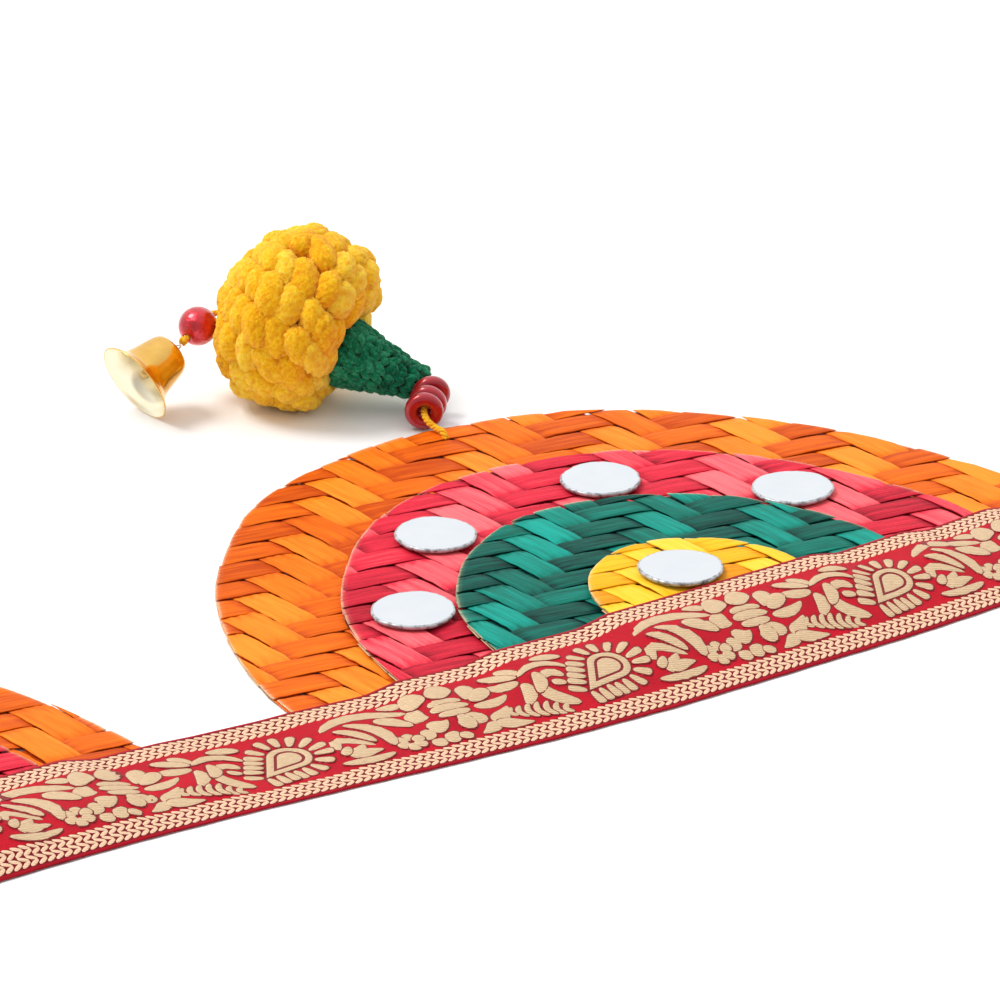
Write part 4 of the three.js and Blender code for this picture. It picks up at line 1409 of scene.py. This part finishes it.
def tail_skins(place):
    """The yarn out of the flower's face, through the round bead, and its knot."""
    _, centre, ahead = round_bead_skin(place)
    at = placer(place)
    root = centre - ahead * 5.8 + unit(at(FLOWER_CENTRE) - centre) * 2.6
    path = smooth_path([root, centre - ahead * 5.3, centre, centre + ahead * 5.6, centre + ahead * 6.4], 50)
    skins = yarn(path, 0.9)
    random = np.random.RandomState(3)
    side, over, along = axes_along(ahead)
    for turn in (0.3, 1.9, 3.6, 5.2):
        out = math.cos(turn) * side + math.sin(turn) * over
        centre_at = (centre + ahead * 7.1 + out * 0.5)[None]
        long = unit(np.cross(out, along) + 0.5 * along)[None]
        knot = lobes(
            centre_at, long, np.cross(out, long[0])[None], out[None],
            np.array([[1.25, 0.7, 0.7]]), random, grid=(8, 12), crumb=0.15, grain=1.2,
        )
        skins.append(knot)
    return skins


# Operators


class TORAN_OT_stage(bpy.types.Operator):
    """The pale floor, the soft light and the camera at the photograph's angle"""

    bl_idname = "toran.stage"
    bl_label = "Stage"

    def execute(self, context):
        stage = context.scene.toran_stage
        scene = context.scene
        scene.view_settings.view_transform = "Standard"
        mesh = bpy.data.meshes.new("floor")
        half = 6.0
        mesh.from_pydata([(-half, -half, 0), (half, -half, 0), (half, half, 0), (-half, half, 0)], [], [(0, 1, 2, 3)])
        floor = bpy.data.objects.new("floor", mesh)
        scene.collection.objects.link(floor)
        material, _, _ = new_finish("floor_pale", Base_Color=(0.9, 0.9, 0.9, 1), Roughness=0.9)
        mesh.materials.append(material)
        world = bpy.data.worlds.new("studio")
        world.use_nodes = True
        tree = world.node_tree
        far = (math.sin(stage.heading) * 0.8, math.cos(stage.heading) * 0.8, 0.6)
        facing = add_node(
            tree,
            "ShaderNodeVectorMath",
            {0: add_node(tree, "ShaderNodeTexCoord").outputs["Generated"], 1: far},
            operation="DOT_PRODUCT",
        )
        glow = add_node(
            tree,
            "ShaderNodeMapRange",
            {"Value": facing.outputs["Value"], "From Min": -0.6, "From Max": 0.75, "To Min": stage.shade, "To Max": stage.sky},
        )
        tree.links.new(glow.outputs[0], tree.nodes["Background"].inputs["Strength"])
        tree.nodes["Background"].inputs["Color"].default_value = (1, 1, 1, 1)
        scene.world = world
        light = bpy.data.lights.new("key", "SUN")
        light.energy = stage.key
        light.angle = math.radians(25)
        key = bpy.data.objects.new("key", light)
        scene.collection.objects.link(key)
        key.rotation_euler = (math.radians(-22), math.radians(-26), 0)
        self.place_camera(scene, stage)
        return {"FINISHED"}

    def place_camera(self, scene, stage):
        """Puts the camera on its line of sight, square to it, level with the ground."""
        right = Vector((math.cos(stage.heading), -math.sin(stage.heading), 0))
        level = Vector((math.sin(stage.heading), math.cos(stage.heading), 0))
        ahead = math.cos(stage.elevation) * level - math.sin(stage.elevation) * Vector((0, 0, 1))
        up = math.sin(stage.elevation) * level + math.cos(stage.elevation) * Vector((0, 0, 1))
        frame_px, off_x, off_y = 1000, 206, 116
        pixel = 36.0 / frame_px / stage.focal
        origin = Vector(panel_origin("middle")) * MM
        sight = ahead + off_x * pixel * right - off_y * pixel * up
        camera = bpy.data.objects.new("camera", bpy.data.cameras.new("camera"))
        scene.collection.objects.link(camera)
        camera.data.lens = stage.focal
        camera.data.sensor_width = 36.0
        camera.data.clip_end = 50
        turn = Matrix((right, up, -ahead)).transposed().to_4x4()
        camera.matrix_world = Matrix.Translation(origin - stage.distance * sight) @ turn
        scene.camera = camera


class TORAN_OT_mats(bpy.types.Operator):
    """The twelve plaited mats, strip by strip"""

    bl_idname = "toran.mats"
    bl_label = "Plaited Mats"

    def execute(self, context):
        mats = context.scene.toran_mats
        cut = cut_finish()
        finishes = {layer: leaf_finish(layer, MAT_SHADES[layer]) for layer in LAYERS}
        for number, place in enumerate(PLACES):
            for level, layer in enumerate(LAYERS):
                node = f"mat_{layer}_{place}"
                random = np.random.RandomState(mats.seed + 10 * number + level)
                skins = plaited_mat(node, layer, mats, random)
                build_piece(f"plait_{layer}_{place}", skins, [finishes[layer], cut], BODY, [node])
        return {"FINISHED"}


class TORAN_OT_mirrors(bpy.types.Operator):
    """The fifteen round craft mirrors"""

    bl_idname = "toran.mirrors"
    bl_label = "Mirrors"

    def execute(self, context):
        finishes = mirror_finishes()
        for number, place in enumerate(PLACES):
            for i in range(1, MIRRORS_EACH + 1):
                node = f"mirror_{i}_{place}"
                disc = silvered_disc(node, MIRRORS_EACH * number + i)
                build_piece(f"disc_{i}_{place}", [disc], finishes, BODY, [node])
        return {"FINISHED"}


class TORAN_OT_ribbon(bpy.types.Operator):
    """The ribbon, its vine in gold weft and its plaited borders"""

    bl_idname = "toran.ribbon"
    bl_label = "Brocade Ribbon"

    def execute(self, context):
        ribbon = context.scene.toran_ribbon
        surface = RibbonSurface()
        cloth, relief = ribbon.cloth / MM, ribbon.relief / MM
        band = build_piece(
            "ribbon_band", [ribbon_cloth(surface, cloth)], [ribbon_finish(ribbon, surface.width)], BODY,
            ["ribbon"],
        )
        lift = cloth + 0.17
        repeat, start = ribbon.repeat / MM, ribbon.start / MM
        repeats = start + repeat * np.arange(-6, 7)
        near, far = BORDER_ROWS[3][0] + 0.9, BORDER_ROWS[4][0] - 0.9
        middle = (near + far) / 2
        chart = vine_strokes()
        chart[:, [1, 3, 5]] += middle
        gold = gold_finish(ribbon)
        vine = outlined_strokes(surface, chart, repeats, lift, relief)
        vine += drop_skins(surface, repeats, lift, relief, middle)
        motifs = build_piece("gold_vine", vine, [gold], BODY, ())
        border = build_piece("gold_border", [border_stitches(surface, lift, relief)], [gold], BODY, ())
        return {"FINISHED"}


class TORAN_OT_beads(bpy.types.Operator):
    """The ring beads and round beads, with the yarn that strings them"""

    bl_idname = "toran.beads"
    bl_label = "Beads and Yarn"

    def execute(self, context):
        cherry = lacquer_finish("cherry_lacquer", (128, 4, 22), (206, 18, 46), 0.3, 0.25, 180.0)
        ruby = lacquer_finish("ruby_lacquer", (132, 6, 24), (240, 48, 62), 0.75, 2.4, 230.0)
        wool = yarn_finish("yellow_yarn", ((206, 132, 10), (246, 184, 30), (255, 216, 80)), depth=0.2)
        for place in PLACES:
            at = placer(place)
            middles = [box_middle(f"ring_bead_{i + 1}_{place}") for i in range(RINGS_EACH)]
            strung = [at((7.8, 139.0, 5.6)), *middles, at(CONE_TIP)]
            for i in range(RINGS_EACH):
                node = f"ring_bead_{i + 1}_{place}"
                ring = ring_bead(node, strung[i + 2] - strung[i])
                build_piece(f"ring_{i + 1}_{place}", [ring], [cherry], BODY, [node])
            bead, _, _ = round_bead_skin(place)
            build_piece(f"bead_{place}", [bead], [ruby], BODY, [f"round_bead_{place}"])
            build_piece(f"stringing_{place}", thread_skins(place), [wool], BODY, [f"thread_{place}"])
            build_piece(f"tail_yarn_{place}", tail_skins(place), [wool], BODY, [f"tail_{place}"])
        return {"FINISHED"}


class TORAN_OT_crochet(bpy.types.Operator):
    """The crocheted marigolds and their green cones"""

    bl_idname = "toran.crochet"
    bl_label = "Crocheted Flowers"

    def execute(self, context):
        pendant = context.scene.toran_pendant
        marigold = yarn_finish("marigold_yarn", ((226, 126, 0), (255, 196, 16), (255, 230, 90)))
        fern = yarn_finish("fern_yarn", ((0, 50, 32), (2, 124, 84), (64, 178, 130)))
        for number, place in enumerate(PLACES):
            random = np.random.RandomState(pendant.seed + number)
            flower = crocheted_flower(place, pendant, random)
            build_piece(f"marigold_{place}", flower, [marigold], BODY, [f"flower_{place}"])
            cone = crocheted_cone(place, random)
            build_piece(f"calyx_{place}", cone, [fern], BODY, [f"cone_{place}"])
        return {"FINISHED"}


class TORAN_OT_bells(bpy.types.Operator):
    """The bells, and their clappers on bodies of their own"""

    bl_idname = "toran.bells"
    bl_label = "Bells"

    def execute(self, context):
        outside = metal_finish("bell_gold", (218, 164, 78), (244, 200, 112), 0.16)
        inside = metal_finish("bell_inside", (244, 232, 198), (252, 244, 220), 0.3)
        wire = metal_finish("bell_wire", (190, 186, 184), (226, 222, 220), 0.25)
        ball = metal_finish("clapper_gold", (170, 130, 70), (226, 190, 120), 0.3)
        for place in PLACES:
            build_piece(
                f"bell_cup_{place}", bell_skins(place), [outside, inside, wire], BODY, [f"bell_{place}"]
            )
            build_piece(
                f"bell_tongue_{place}", clapper_skins(place), [ball], f"{place}_clapper",
                [f"clapper_{place}"],
            )
        return {"FINISHED"}


class TORAN_PT_panel(bpy.types.Panel):
    """Everything that makes up the hanging, in the order in which it is made"""

    bl_idname = "TORAN_PT_panel"
    bl_label = "Toran"
    bl_space_type = "VIEW_3D"
    bl_region_type = "UI"
    bl_category = "Toran"

    def draw(self, context):
        for operator in OPERATORS:
            self.layout.operator(operator.bl_idname)
        for key in SETTINGS:
            box = self.layout.box()
            group = getattr(context.scene, key)
            for name in group.__annotations__:
                box.prop(group, name)


OPERATORS = (
    TORAN_OT_stage,
    TORAN_OT_ribbon,
    TORAN_OT_mats,
    TORAN_OT_mirrors,
    TORAN_OT_crochet,
    TORAN_OT_beads,
    TORAN_OT_bells,
)
SETTINGS = {
    "toran_mats": ToranMatSettings,
    "toran_ribbon": ToranRibbonSettings,
    "toran_pendant": ToranPendantSettings,
    "toran_stage": ToranStageSettings,
}


def register():
    for cls in (*SETTINGS.values(), *OPERATORS, TORAN_PT_panel):
        bpy.utils.register_class(cls)
    for key, group in SETTINGS.items():
        setattr(bpy.types.Scene, key, PointerProperty(type=group))


def unregister():
    for key in SETTINGS:
        delattr(bpy.types.Scene, key)
    for cls in reversed((*SETTINGS.values(), *OPERATORS, TORAN_PT_panel)):
        bpy.utils.unregister_class(cls)


def main():
    register()
    bpy.ops.toran.stage()
    bpy.ops.toran.ribbon()
    bpy.ops.toran.mats()
    bpy.ops.toran.mirrors()
    bpy.ops.toran.crochet()
    bpy.ops.toran.beads()
    bpy.ops.toran.bells()


if __name__ == "__main__":
    main()
